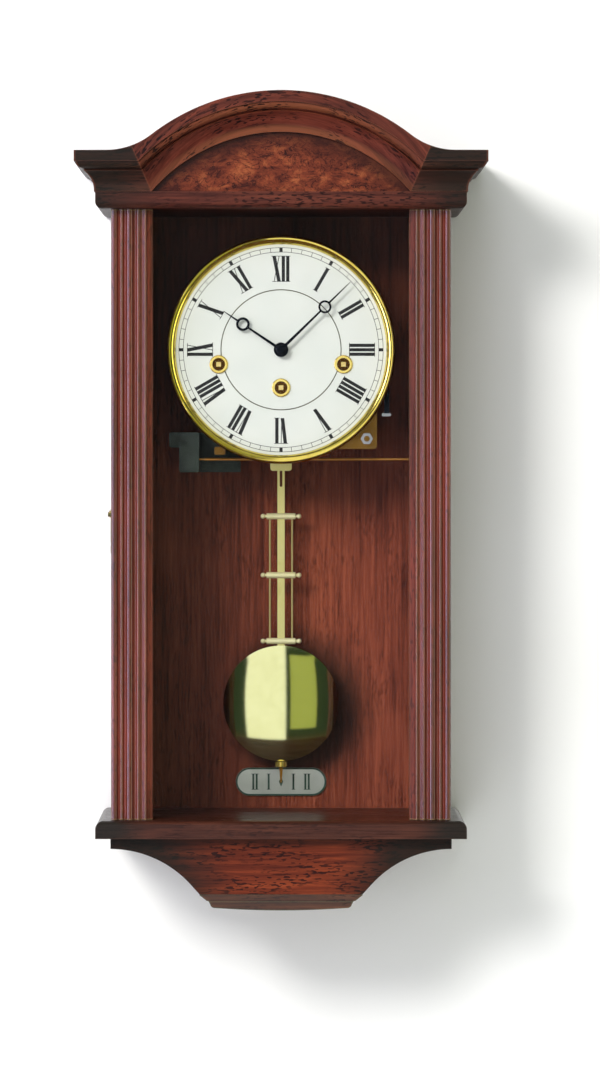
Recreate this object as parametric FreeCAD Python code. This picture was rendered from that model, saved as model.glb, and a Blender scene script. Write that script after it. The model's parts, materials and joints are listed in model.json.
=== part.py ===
"""A pendulum wall clock with an arched crown, a fluted glass door and a chiming movement.

Millimetres. X runs to the right, Y towards the wall and Z up. The origin is the
centre of the hanging keyhole on the back of the case, in the plane of the wall.
Angles on the dial are clockwise from twelve, as seen from the front.
"""
import FreeCAD, Part
import math
import os

V = FreeCAD.Vector

# ---------------------------------------------------------------- case
dial_below_hook = 65.0       # hanging keyhole down to the centre of the dial
dial_below_ceiling = 95.1    # underside of the top board down to the centre of the dial
opening_h = 415.6            # base shelf up to the top board
side_outer_x = 113.6         # half of the width over the case sides
side_t = 10.0
side_depth = 97.0            # wall to the front edge of the sides
back_t = 6.0
board_overhang = 12.4        # top board and base shelf beyond the case sides
board_front_overhang = 10.5  # and in front of the door
top_board_t = 11.4
shelf_t = 12.0
top_round_r = 4.5            # rounded lower edge of the top board
shelf_round_r = 5.5          # rounded upper edge of the shelf

# ---------------------------------------------------------------- door
door_t = 18.0
door_back_gap = 1.0          # case side to the back of the door
door_end_gap = 0.3           # door to the shelf and to the top board
stile_overhang = 2.0         # door beyond the case side
stile_w = 28.3
reed_widths = [4.35, 2.05, 4.8, 2.4, 1.7]
reed_crests = [0.2, 0.9, 0.0, 0.8, 1.1]     # depth of each crest below the front plane
groove_widths = [1.75, 2.05, 2.3, 2.7]
reed_foot = 1.8              # depth where reeds and grooves meet
groove_depth = 2.6
arris_w = 0.7
glass_t = 2.5
glass_depth = 12.0           # front of the door to the front of the glass
glass_inlay = 4.0            # glass held in the groove of each stile
glass_clearance = 0.1
pivot_inset = 5.0            # pivot axis from the outer and rear faces of the stile
pivot_r = 1.5
pivot_len = 6.0              # each half of a pivot pin
pivot_clearance = 0.05

# ---------------------------------------------------------------- side latch
latch_reach = 21.0           # hook pivot to the stud on the door
latch_plate_t = 1.0
latch_plate_w = 4.4
latch_standoff = 2.3         # case side to the hook plate
latch_screw_r = 1.5
latch_head_r = 2.4
stud_r = 1.1
stud_head_r = 1.6
latch_clearance = 0.3

# ---------------------------------------------------------------- cornice
line_h = 1.3                 # moulding, from its lower edge upwards
cove_h = 12.6
groove_h = 1.4
bead_h = 4.4
fascia_h = 7.6
line_u = 0.8                 # and outwards from the edge of the top board
cove_u = 7.6
bead_u = 12.8
fascia_u = 14.0
moulding_back = 8.0          # moulding behind the edge of the top board
arch_r = 143.0
arch_rise = 40.4             # arch above the flat top
flare_r = 49.3
panel_t = 4.0
crown_t = 8.0
crown_rail_t = 8.0

# ---------------------------------------------------------------- console under the shelf
console_overhang = 2.4       # upper edge of the console beyond the case side
console_band_h = 7.6
console_arc_r = 73.5
console_arc_turn = 47.7      # degrees of the concave flank
console_skirt_h = 38.5       # shelf down to the cap
console_board_t = 12.0
console_side_t = 6.0
cap_step = 0.8
cap_neck_h = 4.6
cap_h = 4.6
cap_inset = 1.0              # foot plate inside the lower edge of the neck
cap_sag = 1.6
cap_round_r = 2.6

# ---------------------------------------------------------------- hanger and beat plate
hanger_w = 56.0
hanger_h = 26.0
hanger_t = 1.5
hanger_hole_r = 4.5
hanger_slot_w = 4.5
hanger_slot_len = 9.0
hanger_pocket_d = 5.0
hanger_screw_pitch = 42.0
screw_r = 1.4
screw_head_r = 3.0
screw_head_h = 1.2
beat_plate_w = 63.6
beat_plate_h = 19.7
beat_plate_t = 1.2
beat_below_dial = 301.9
beat_border = 1.3

# ---------------------------------------------------------------- dial
dial_r = 76.0
dial_t = 0.8
bezel_r = 78.3
bezel_lip_r = 72.2
bezel_crest_in = 1.7         # crest inside the outer edge of the bezel
bezel_h = 8.2                # dial front to the crest of the bezel
bezel_round_h = 4.8          # height of its rounded inner flank
bezel_shoulder_h = 3.0       # and of its rounded outer flank
bezel_clearance = 0.1
winding_side_x = 42.8
winding_side_z = -10.0
winding_low_z = -26.0
grommet_r = 6.4
grommet_hole_r = 4.4
grommet_wall = 0.45
grommet_flange_t = 1.1
hour_tube_gap = 1.4          # hour tube to the centre hole of the dial
dial_foot_len = 8.0
dial_foot_r = 2.0
dial_foot_x = 36.0
dial_foot_z = 30.0

# ---------------------------------------------------------------- hands
shown_hours = 10
shown_minutes = 7.62
hand_t = 0.5
minute_tip = 66.2
minute_ring = 42.0
minute_ring_r = 4.5
minute_ring_hole_r = 3.1
hour_tip = 47.6
hour_ring = 31.5
hour_ring_r = 4.7
hour_ring_hole_r = 3.0
hand_stem_w = 1.7
hand_hub_r = 5.0
hand_gap = 1.6               # between the two hands
hand_nut_r = 3.2
hand_nut_h = 2.2

# ---------------------------------------------------------------- movement
dial_set_back = 11.2         # front edge of the case sides to the front of the dial
post_r = 4.0
plate_t = 2.0
plate_gap = 40.0
plate_half_w = 66.0
plate_top = 38.0             # above the dial centre
plate_bottom = -68.0
notch_x = -32.0              # lower left corner cut away for the gong block
notch_z = -38.0
plate_corner_r = 2.5
pillar_r = 4.0
pillar_screw_r = 2.0
nut_r = 4.2
nut_h = 3.0
pivot_play = 0.05            # radial clearance of every pivot and tube

wheel_t = 1.2
rim_w = 3.0
arbor_r = 1.5
fine_arbor_r = 0.9           # third and escape arbors
tooth_top = 0.85             # tooth above the pitch circle, in modules
tooth_foot = 1.3             # and below it
wheel_tooth = 0.38           # share of the pitch that a wheel tooth fills
leaf_tooth = 0.30
tip_tooth = 0.15

great_module = 0.55
great_teeth = 78
second_leaves = 12
second_module = 0.5
second_teeth = 60
centre_leaves = 10
centre_module = 0.38
centre_teeth = 80
third_leaves = 8
third_module = 0.4
third_teeth = 72
escape_leaves = 8
escape_teeth = 37
escape_r = 9.0
third_angle = 135.0          # third arbor seen from the centre, counter-clockwise from +X
cannon_module = 0.375
cannon_leaves = 20
minute_teeth = 60
hour_module = 0.4
minute_leaves = 15
hour_teeth = 60
minute_wheel_angle = 150.0
drum_teeth = 40
drum_angle = 248.0           # chime drum seen from the chime barrel

barrel_r = 20.0
barrel_len = 24.0
barrel_wall = 1.0
winding_r = 2.5
winding_square = 3.2
ratchet_r = 8.0
ratchet_teeth = 18
cannon_r = 2.2
hour_tube_r = 3.1

verge_z = 34.0               # pallet and pendulum axis above the dial centre
pallet_arm = 10.2
pallet_clearance = 1.0
crutch_end_z = -80.0
crutch_w = 15.0
crutch_t = 6.6
crutch_clearance = 0.3       # between the crutch's fork and the strip

# ---------------------------------------------------------------- pendulum
pendulum_behind_plate = 8.5  # back plate to the front of the pendulum strip
strip_w = 5.1
strip_t = 1.0
strip_top_z = -76.0
slot_top_z = -81.3
slot_bottom_z = -94.5
slot_w = 1.8
crossbar_zs = [-115.1, -156.3, -202.4]
crossbar_len = 20.4
crossbar_r = 2.15
crossbar_round_r = 0.5
finial_r = 1.7
finial_neck = 0.66
side_rod_x = 7.75
side_rod_r = 0.75
bob_gap = 3.1                # lowest crossbar to the bob
bob_r = 40.3
bob_front_sag = 7.0
bob_back_sag = 4.0
bob_rim = 1.2
bob_play = 0.15              # bob on the strip and its thread
bob_ahead = 0.6              # middle of the bob's rim in front of the strip
rating_nut_r = 3.9
rating_nut_h = 3.6
rating_gap = 0.6
knurl_r = 0.35
knurl_count = 16
pointer_len = 10.0
pointer_w = 2.5
pointer_tip_w = 1.0
suspension_w = 8.0
suspension_t = 0.3
suspension_up = 8.6          # spring above the pendulum axis
suspension_down = 4.0        # and below it
clamp_len = 8.0
clamp_play = 0.6             # sideways room for the spring in the clamp
clamp_wall = 0.8
clamp_front = 0.9            # clamp in front of and behind the strip
clamp_grip = 1.2             # spring inside the clamp
leader_w = 3.2
thread_r = 1.3
thread_lap = 12.0            # thread behind the bob

# ---------------------------------------------------------------- gong and hammers
gong_left = -77.3
gong_tab_w = 6.9             # the tab at its upper left
gong_tab_h = 10.4
gong_face_x = -56.6          # right face of the thick part, where the rods come out
gong_right = -28.4
gong_top = -56.6
gong_bottom = -84.2
gong_foot_gap = 1.0          # back plate to the front of the foot
gong_front_gap = 9.0         # front plate to the front of the block
gong_corner_r = 1.5
rod_count = 5
rod_pitch = 6.0
rod_r = 1.0
rod_root_r = 0.6
rod_root_len = 3.6           # thin root of the first rod; each next root is longer
rod_root_step = 2.5
rod_seat = 8.0
rod_z = -75.2
rod_end_gap = 7.6            # end of the first rod to the case side
rod_step = 5.0
hammer_pivot_x = -2.0
hammer_pivot_z = -60.0
hammer_head_x = -42.3
hammer_head_r = 2.5
hammer_head_w = 7.4
hammer_head_h = 5.4
hammer_rod_gap = 2.2
hammer_arm_t = 2.2
hammer_eye_r = 3.2
tail_gap = 0.8               # hammer tail to the pins of the drum
drum_r = 8.0
drum_pin_h = 1.4
drum_pin_r = 0.5
silence_x = 60.0
silence_z = -12.0
silence_edge_x = 74.4
silence_w = 3.4
silence_low_z = -43.6

# ---------------------------------------------------------------- planes and levels
inner_x = side_outer_x - side_t
board_x = side_outer_x + board_overhang
stile_outer_x = side_outer_x + stile_overhang
console_x = side_outer_x + console_overhang
door_back_y = -(side_depth + door_back_gap)
door_front_y = door_back_y - door_t
board_front_y = door_front_y - board_front_overhang
dial_z = -dial_below_hook
ceiling_z = dial_z + dial_below_ceiling
floor_z = ceiling_z - opening_h
top_z = ceiling_z + top_board_t
shelf_bottom_z = floor_z - shelf_t
moulding_h = line_h + cove_h + groove_h + bead_h + fascia_h
flat_top_z = top_z + moulding_h
arch_top_z = flat_top_z + arch_rise
arch_z = arch_top_z - arch_r
arch_inner_r = arch_r - moulding_h
cornice_x = board_x + fascia_u
back_front_y = -back_t
dial_front_y = -side_depth + dial_set_back
dial_back_y = dial_front_y + dial_t
front_plate_y = dial_back_y + dial_foot_len
front_plate_back_y = front_plate_y + plate_t
back_plate_y = front_plate_back_y + plate_gap
plate_back_y = back_plate_y + plate_t
dial_centre_hole_r = hour_tube_r + hour_tube_gap
pendulum_y = plate_back_y + pendulum_behind_plate
verge_abs_z = dial_z + verge_z
bob_z = crossbar_zs[-1] - bob_gap - bob_r
rod_end_x = inner_x - rod_end_gap
pivot_x = stile_outer_x - pivot_inset
pivot_y = door_back_y - pivot_inset
latch_z = (ceiling_z + floor_z) / 2
stud_y = door_back_y - door_t / 2
latch_y = stud_y + latch_reach
latch_plate_x = side_outer_x + latch_standoff


# ---------------------------------------------------------------- helpers
def box(x0, x1, y0, y1, z0, z1):
    return Part.makeBox(x1 - x0, y1 - y0, z1 - z0, V(x0, y0, z0))


def rod_y(x, z, r, y0, y1):
    """A round bar along Y."""
    return Part.makeCylinder(r, y1 - y0, V(x, y0, z), V(0, 1, 0))


def rod_x(y, z, r, x0, x1):
    return Part.makeCylinder(r, x1 - x0, V(x0, y, z), V(1, 0, 0))


def rod_z_axis(x, y, r, z0, z1):
    return Part.makeCylinder(r, z1 - z0, V(x, y, z0), V(0, 0, 1))


def fuse(first, *rest):
    return first.fuse(list(rest)).removeSplitter() if rest else first


def turned(shape, degrees, x=0.0, z=0.0):
    """A copy turned clockwise, seen from the front, about a point of the dial plane."""
    copy = shape.copy()
    copy.rotate(V(x, 0, z), V(0, 1, 0), degrees)
    return copy


def mirrored(shape):
    return shape.mirror(V(0, 0, 0), V(1, 0, 0))


def outline(*steps):
    """A closed wire in the XZ plane. A step is (x, z), or (mid, end) for an arc through mid."""
    point = steps[0]
    edges = []
    for step in list(steps[1:]) + [steps[0]]:
        a = V(point[0], 0, point[1])
        if isinstance(step[0], tuple):
            mid, end = step
            edges.append(Part.Arc(a, V(mid[0], 0, mid[1]), V(end[0], 0, end[1])).toShape())
            point = end
        elif math.dist(step, point) > 1e-6:
            edges.append(Part.makeLine(a, V(step[0], 0, step[1])))
            point = step
    return Part.Wire(edges)


def plate(wire, y0, y1):
    """A wire of the XZ plane as a plate between two depths."""
    face = Part.Face(wire)
    face.translate(V(0, y0, 0))
    return face.extrude(V(0, y1 - y0, 0))


def rounded_plate(x0, x1, z0, z1, r, y0, y1):
    solid = box(x0, x1, y0, y1, z0, z1)
    upright = [e for e in solid.Edges if abs(e.tangentAt(e.FirstParameter).y) > 0.9]
    return solid.makeFillet(r, upright)


def hexagon(x, z, r, y0, y1):
    points = []
    for i in range(6):
        a = math.radians(60 * i)
        points.append((x + r * math.cos(a), z + r * math.sin(a)))
    return plate(outline(*points), y0, y1)


def polar(x, z, r, degrees):
    """A point at an angle counter-clockwise from +X, seen from the front."""
    a = math.radians(degrees)
    return (x + r * math.cos(a), z + r * math.sin(a))


# ---------------------------------------------------------------- gears
def pitch_r(teeth, module):
    return teeth * module / 2


def mesh_phase(teeth_a, phase_a, angle, teeth_b):
    """Phase of gear b so that it meshes with gear a, in degrees. Gear b lies at angle from a."""
    share = (angle - phase_a) / (360.0 / teeth_a)
    return angle + 180 - (0.5 - share) * 360.0 / teeth_b


def gear(x, z, teeth, module, phase, share, y0, y1, hole_r=0.0):
    """A toothed disc with straight-sided teeth, thinned so that pairs run free."""
    r = pitch_r(teeth, module)
    step = 360.0 / teeth
    foot_r = r - tooth_foot * module
    tip_r = r + tooth_top * module
    half = step * share / 2
    half_tip = step * tip_tooth / 2
    points = []
    for i in range(teeth):
        a = phase + i * step
        for radius, offset in ((foot_r, -half), (r, -half), (tip_r, -half_tip),
                               (tip_r, half_tip), (r, half), (foot_r, half)):
            points.append(polar(x, z, radius, a + offset))
    solid = plate(outline(*points), y0, y1)
    if hole_r:
        solid = solid.cut(rod_y(x, z, hole_r, y0 - 1, y1 + 1))
    return solid


def crossed(solid, x, z, outer_r, inner_r, y0, y1, spokes=4):
    """A wheel with the windows between its spokes cut out."""
    if outer_r - inner_r < rim_w:
        return solid
    for i in range(spokes):
        a0 = 360.0 / spokes * i + 9
        a1 = 360.0 / spokes * (i + 1) - 9
        mid = (a0 + a1) / 2
        window = outline(polar(x, z, inner_r, a0), polar(x, z, outer_r, a0),
                         (polar(x, z, outer_r, mid), polar(x, z, outer_r, a1)),
                         polar(x, z, inner_r, a1),
                         (polar(x, z, inner_r, mid), polar(x, z, inner_r, a0)))
        solid = solid.cut(plate(window, y0 - 1, y1 + 1))
    return solid


def wheel(x, z, teeth, module, phase, y0, y1, hub_r=4.0):
    solid = gear(x, z, teeth, module, phase, wheel_tooth, y0, y1)
    return crossed(solid, x, z, pitch_r(teeth, module) - rim_w, hub_r, y0, y1)


def arbor(x, z, r=arbor_r):
    """An arbor that runs in both plates."""
    return rod_y(x, z, r, front_plate_y, plate_back_y)


# Depths of the wheel layers, from the front plate backwards.
def layer(distance):
    return front_plate_back_y + distance


centre_layer = layer(1.6)
second_layer = layer(4.6)
great_layer = layer(8.0)
third_layer = layer(15.0)
escape_layer = layer(28.0)
motion_low = front_plate_y - 1.2 - wheel_t      # minute wheel, next to the front plate
motion_high = motion_low - 1.8 - wheel_t        # hour wheel, next to the dial

# Arbor positions on the dial plane, each worked out from the gears that mesh there.
time_at = (0.0, dial_z + winding_low_z)
strike_at = (-winding_side_x, dial_z + winding_side_z)
chime_at = (winding_side_x, dial_z + winding_side_z)


def second_place():
    """The second arbor meshes with the great wheel and with the centre pinion."""
    great = pitch_r(great_teeth, great_module) + pitch_r(second_leaves, great_module)
    near = pitch_r(second_teeth, second_module) + pitch_r(centre_leaves, second_module)
    drop = -winding_low_z
    up = (great ** 2 - near ** 2 + drop ** 2) / (2 * drop)
    return (math.sqrt(great ** 2 - up ** 2), time_at[1] + up)


second_at = second_place()
third_at = polar(0, dial_z, pitch_r(centre_teeth + third_leaves, centre_module), third_angle)
escape_reach = pitch_r(third_teeth + escape_leaves, third_module)
escape_at = (0.0, third_at[1] + math.sqrt(escape_reach ** 2 - third_at[0] ** 2))
minute_at = polar(0, dial_z, pitch_r(cannon_leaves + minute_teeth, cannon_module),
                  minute_wheel_angle)
drum_at = polar(*chime_at, pitch_r(great_teeth + drum_teeth, great_module), drum_angle)


def direction(a, b):
    return math.degrees(math.atan2(b[1] - a[1], b[0] - a[0]))


great_phase = 0.0
second_phase = 0.0
centre_phase = 0.0
third_phase = 0.0
cannon_phase = 0.0
minute_phase = 0.0
second_pinion_phase = mesh_phase(great_teeth, great_phase, direction(time_at, second_at),
                                 second_leaves)
centre_pinion_phase = mesh_phase(second_teeth, second_phase,
                                 direction(second_at, (0, dial_z)), centre_leaves)
third_pinion_phase = mesh_phase(centre_teeth, centre_phase, third_angle, third_leaves)
escape_pinion_phase = mesh_phase(third_teeth, third_phase, direction(third_at, escape_at),
                                 escape_leaves)
minute_wheel_phase = mesh_phase(cannon_leaves, cannon_phase, minute_wheel_angle, minute_teeth)
hour_phase = mesh_phase(minute_leaves, minute_phase, minute_wheel_angle + 180, hour_teeth)
drum_phase = mesh_phase(great_teeth, great_phase, drum_angle, drum_teeth)


# ---------------------------------------------------------------- case
def case_sides():
    right = box(inner_x, side_outer_x, -side_depth, 0, floor_z, ceiling_z)
    screw = rod_x(latch_y, latch_z, latch_screw_r, -side_outer_x - 1, -side_outer_x + side_t)
    left = mirrored(right).cut(screw)
    return Part.makeCompound([left, right])


def back_panel():
    panel = box(-inner_x, inner_x, back_front_y, 0, shelf_bottom_z, ceiling_z)
    panel = panel.fuse(plate(console_outline(console_side_t), back_front_y, 0)).removeSplitter()
    recess = box(-hanger_w / 2, hanger_w / 2, -hanger_t, 0, -hanger_h / 2, hanger_h / 2)
    pocket = rounded_plate(-screw_head_r - 5, screw_head_r + 5, -hanger_h / 2 + 4,
                           hanger_h / 2 - 2, 2, -hanger_pocket_d, 0)
    panel = panel.cut([recess, pocket])
    for x in (-hanger_screw_pitch / 2, hanger_screw_pitch / 2):
        panel = panel.cut(rod_y(x, 0, screw_r, -back_t + 0.5, 0))
    return panel


def rounded_board(z0, z1, r, round_top):
    """A board that overhangs the case, with its front and side edges rounded."""
    board = box(-board_x, board_x, board_front_y, 0, z0, z1)
    level = z1 if round_top else z0
    edges = []
    for edge in board.Edges:
        middle = edge.CenterOfMass
        if abs(middle.z - level) < 0.01 and middle.y < -0.01:
            edges.append(edge)
    return board.makeFillet(r, edges)


def pivot_hole(z0, z1):
    return rod_z_axis(pivot_x, pivot_y, pivot_r + pivot_clearance, z0, z1)


def top_board():
    board = rounded_board(ceiling_z, top_z, top_round_r, False)
    return board.cut(pivot_hole(ceiling_z - 1, ceiling_z + pivot_len))


def base_shelf():
    board = rounded_board(shelf_bottom_z, floor_z, shelf_round_r, True)
    rebate = box(-inner_x, inner_x, back_front_y, 1, shelf_bottom_z - 1, floor_z + 1)
    return board.cut([rebate, pivot_hole(floor_z - pivot_len, floor_z + 1)])


# ---------------------------------------------------------------- cornice
def moulding_section():
    """Half of a section: (outwards, upwards) from the upper edge of the top board."""
    groove_z = line_h + cove_h
    bead_z = groove_z + groove_h
    fascia_z = bead_z + bead_h
    cove_mid = (line_u + (cove_u - line_u) * 0.27, line_h + cove_h * 0.56)
    bead_mid = (bead_u - 0.9, bead_z + bead_h * 0.42)
    return [(-moulding_back, 0), (line_u, 0), (line_u, line_h),
            (cove_mid, (cove_u, groove_z)), (cove_u - 0.5, groove_z + groove_h * 0.5),
            (cove_u + 1.0, bead_z), (bead_mid, (bead_u, fascia_z)), (fascia_u, fascia_z),
            (fascia_u, moulding_h), (-moulding_back, moulding_h)]


def section_wire(place):
    """The moulding section as a wire, each of its points put in space by place(u, w)."""
    steps = moulding_section()
    point = steps[0]
    edges = []
    for step in steps[1:] + [steps[0]]:
        if isinstance(step[0], tuple):
            mid, end = step
            edges.append(Part.Arc(place(*point), place(*mid), place(*end)).toShape())
            point = end
        else:
            edges.append(Part.makeLine(place(*point), place(*step)))
            point = step
    return Part.Wire(edges)


def mitre_points():
    """The line where the arch meets the level moulding: at its foot and at the fascia."""
    fascia_z = moulding_h - fascia_h
    foot = math.sqrt(arch_inner_r ** 2 - (top_z - arch_z) ** 2)
    upper = math.sqrt((arch_r - fascia_h) ** 2 - (top_z + fascia_z - arch_z) ** 2)
    return (foot, top_z), (upper, top_z + fascia_z)


def mitre_at(z):
    (x0, z0), (x1, z1) = mitre_points()
    return x0 + (x1 - x0) * (z - z0) / (z1 - z0)


def arch_wedge():
    """Everything between the two mitres."""
    low = top_z - 1
    high = arch_top_z + 10
    front = board_front_y - fascia_u - 1
    points = [(-mitre_at(low), low), (mitre_at(low), low), (mitre_at(high), high),
              (-mitre_at(high), high)]
    return plate(outline(*points), front, board_front_y + moulding_back + 1)


def crest():
    """The fascia's flat front, whose top edge is the arch with a flare at each end."""
    flare_x = math.sqrt((arch_r + flare_r) ** 2 - (flat_top_z + flare_r - arch_z) ** 2)
    share = arch_r / (arch_r + flare_r)
    join = (flare_x * share, arch_z + (flat_top_z + flare_r - arch_z) * share)
    turn = math.atan2(flare_x - join[0], flat_top_z + flare_r - join[1]) / 2
    mid = (flare_x - flare_r * math.sin(turn), flat_top_z + flare_r - flare_r * math.cos(turn))
    low = moulding_h - fascia_h + top_z
    foot = mitre_points()[1]
    wire = outline((-cornice_x, low), (-cornice_x, flat_top_z), (-flare_x, flat_top_z),
                   ((-mid[0], mid[1]), (-join[0], join[1])), ((0, arch_top_z), join),
                   (mid, (flare_x, flat_top_z)), (cornice_x, flat_top_z), (cornice_x, low),
                   foot, ((0, arch_z + arch_r - fascia_h), (-foot[0], foot[1])))
    return plate(wire, board_front_y - fascia_u, board_front_y + moulding_back)


def front_moulding():
    """The whole front run before it is cut at the mitres: (arch, level)."""
    ring = Part.Face(section_wire(lambda u, w: V(0, board_front_y - u, arch_z + arch_inner_r + w)))
    sweep = 50.0
    ring.rotate(V(0, 0, arch_z), V(0, 1, 0), -sweep)
    arch = ring.revolve(V(0, 0, arch_z), V(0, 1, 0), 2 * sweep)
    bar = Part.Face(section_wire(lambda u, w: V(-cornice_x, board_front_y - u, top_z + w)))
    level = bar.extrude(V(2 * cornice_x, 0, 0))
    trim = plate(outline((-cornice_x - 9, arch_top_z + 9), (cornice_x + 9, arch_top_z + 9),
                         (cornice_x + 9, top_z + moulding_h - fascia_h),
                         mitre_points()[1],
                         ((0, arch_z + arch_r - fascia_h),
                          (-mitre_points()[1][0], mitre_points()[1][1])),
                         (-cornice_x - 9, top_z + moulding_h - fascia_h)),
                 board_front_y - fascia_u - 1, board_front_y + moulding_back + 1)
    return arch.cut(trim), level.cut(trim)


def corner_cut():
    """The space outside the 45 degree mitre at the right front corner, for the front run."""
    reach = -2 * board_front_y
    x = board_x
    y = board_front_y
    points = [V(x - moulding_back - reach, y + moulding_back + reach, 0),
              V(x + reach, y - reach, 0), V(x + reach, y + moulding_back + reach, 0)]
    face = Part.Face(Part.makePolygon(points + [points[0]]))
    face.translate(V(0, 0, top_z - 1))
    return face.extrude(V(0, 0, arch_rise + moulding_h + 2))


def arch_moulding():
    arch, _ = front_moulding()
    wedge = arch_wedge()
    return fuse(arch.common(wedge), crest().common(wedge))


def cornice_corners():
    """The short level pieces beside the arch, mitred at both ends."""
    _, level = front_moulding()
    wedge = arch_wedge()
    piece = fuse(level.cut(wedge), crest().cut(wedge)).cut(corner_cut())
    right = piece.common(box(0, cornice_x + 5, board_front_y - 40, 40, top_z - 5, arch_top_z + 5))
    return [mirrored(right), right]


def cornice_returns():
    """The side pieces, from the front mitre back to the wall."""
    bar = Part.Face(section_wire(lambda u, w: V(board_x + u, 0, top_z + w)))
    right = bar.extrude(V(0, board_front_y - fascia_u, 0)).common(corner_cut())
    return [mirrored(right), right]


def cornice_mouldings():
    return Part.makeCompound(cornice_corners() + cornice_returns())


def arch_panel():
    """The figured veneer board inside the arch."""
    half = mitre_points()[0][0]
    wire = outline((-half, top_z), ((0, arch_z + arch_inner_r), (half, top_z)))
    y1 = board_front_y + moulding_back
    return plate(wire, y1 - panel_t, y1)


def crown_board():
    """The flat cover behind the arch, with the rail that closes the back under it."""
    x = board_x - moulding_back
    cover = box(-x, x, board_front_y + moulding_back, 0, flat_top_z - crown_t, flat_top_z)
    return fuse(cover, box(-x, x, -crown_rail_t, 0, top_z, flat_top_z - crown_t))


# ---------------------------------------------------------------- console
def console_outline(inset):
    """The bracket's outline down to its cap, moved inwards by inset."""
    turn = math.radians(console_arc_turn)
    arc_x = -console_x
    arc_z = shelf_bottom_z - console_band_h - console_arc_r
    r = console_arc_r + inset
    reach = (console_band_h + console_arc_r) / r
    start_turn = max(math.asin(inset / r), math.acos(min(reach, 1.0)))
    start_x = arc_x + r * math.sin(start_turn)
    start_z = arc_z + r * math.cos(start_turn)
    mid_turn = (start_turn + turn) / 2
    mid = (arc_x + r * math.sin(mid_turn), arc_z + r * math.cos(mid_turn))
    end = (arc_x + r * math.sin(turn), arc_z + r * math.cos(turn))
    low_z = shelf_bottom_z - console_skirt_h
    low_x = end[0] + (end[1] - low_z) / math.tan(turn)
    return outline((start_x, shelf_bottom_z), (start_x, start_z), (mid, end), (low_x, low_z),
                   (-low_x, low_z), (-end[0], end[1]), ((-mid[0], mid[1]), (-start_x, start_z)),
                   (-start_x, shelf_bottom_z))


def console_front():
    return plate(console_outline(0), door_front_y, door_front_y + console_board_t)


def console_sides():
    y0 = door_front_y + console_board_t
    shell = plate(console_outline(0), y0, 0).cut(plate(console_outline(console_side_t), y0 - 1, 1))
    return Part.makeCompound(shell.Solids)


def console_cap():
    """The stepped foot: a neck under the skirt and a rounded plate with a slightly bowed edge."""
    top = shelf_bottom_z - console_skirt_h
    middle = top - cap_neck_h
    low = middle - cap_h
    turn = math.radians(console_arc_turn)
    half = max(v.X for v in console_outline(0).Vertexes if abs(v.Z - top) < 0.01)
    narrow = half - cap_neck_h / math.tan(turn)
    neck = plate(outline((-half, top), (-half, top - 0.9), (-half + cap_step, top - 1.3),
                         (-narrow + cap_step, middle), (narrow - cap_step, middle),
                         (half - cap_step, top - 1.3), (half, top - 0.9), (half, top)),
                 door_front_y + cap_step, 0)
    x = narrow - cap_step - cap_inset
    slope = cap_h - cap_round_r
    foot = plate(outline((-x, middle), (-x + slope * 0.6, middle - slope),
                         ((-x + slope + 0.6, low + 0.5), (-x + slope + cap_round_r, low)),
                         ((0, low - cap_sag), (x - slope - cap_round_r, low)),
                         ((x - slope - 0.6, low + 0.5), (x - slope * 0.6, middle - slope)),
                         (x, middle)),
                 door_front_y - 0.4, 0)
    return fuse(neck, foot)


# ---------------------------------------------------------------- hanger, screws, beat plate
def hanger_plate():
    solid = rounded_plate(-hanger_w / 2, hanger_w / 2, -hanger_h / 2, hanger_h / 2, 3,
                          -hanger_t, 0)
    hole = rod_y(0, 0, hanger_hole_r, -hanger_t - 1, 1)
    slot = box(-hanger_slot_w / 2, hanger_slot_w / 2, -hanger_t - 1, 1, 0,
               hanger_slot_len - hanger_slot_w / 2)
    end = rod_y(0, hanger_slot_len - hanger_slot_w / 2, hanger_slot_w / 2, -hanger_t - 1, 1)
    solid = solid.cut([hole, slot, end])
    for x in (-hanger_screw_pitch / 2, hanger_screw_pitch / 2):
        solid = solid.cut(rod_y(x, 0, screw_r, -hanger_t - 1, 1))
        solid = solid.cut(rod_y(x, 0, screw_head_r, -screw_head_h / 2, 1))
    return solid


def case_screws():
    """The two screws of the hanger plate and the screw on which the latch turns."""
    screws = [latch_screw()]
    for x in (-hanger_screw_pitch / 2, hanger_screw_pitch / 2):
        shank = rod_y(x, 0, screw_r, -back_t + 0.5, -screw_head_h / 2)
        head = rod_y(x, 0, screw_head_r, -screw_head_h / 2, 0)
        cross = box(x - 0.4, x + 0.4, -0.35, 1, -2, 2)
        screws.append(fuse(shank, head).cut([cross, turned(cross, 90, x, 0)]))
    return Part.makeCompound(screws)


def beat_plate():
    z = dial_z - beat_below_dial
    y = back_front_y - beat_plate_t
    half = beat_plate_w / 2 - beat_plate_h / 2
    r = beat_plate_h / 2

    def stadium(radius):
        return outline((-half, z - radius), ((-half - radius, z), (-half, z + radius)),
                       (half, z + radius), ((half + radius, z), (half, z - radius)))

    solid = plate(stadium(r), y, back_front_y)
    return solid.cut(plate(stadium(r - beat_border), y - 1, y + 0.3))


# ---------------------------------------------------------------- door
def stile_front():
    """The reeded front of a stile: (across from the outer edge, depth) points and arcs."""
    steps = [(0.0, 3.0)]
    at = 0.0
    for i, (width, crest_depth) in enumerate(zip(reed_widths, reed_crests)):
        steps.append(((at + width / 2, crest_depth), (at + width, reed_foot)))
        at += width
        if i < len(groove_widths):
            gap = groove_widths[i]
            steps.append(((at + gap / 2, groove_depth), (at + gap, reed_foot)))
            at += gap
    steps.append((at + arris_w, groove_depth))
    steps.append((stile_w - arris_w, groove_depth + arris_w))
    steps.append((stile_w, groove_depth + 2 * arris_w))
    return steps


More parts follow.
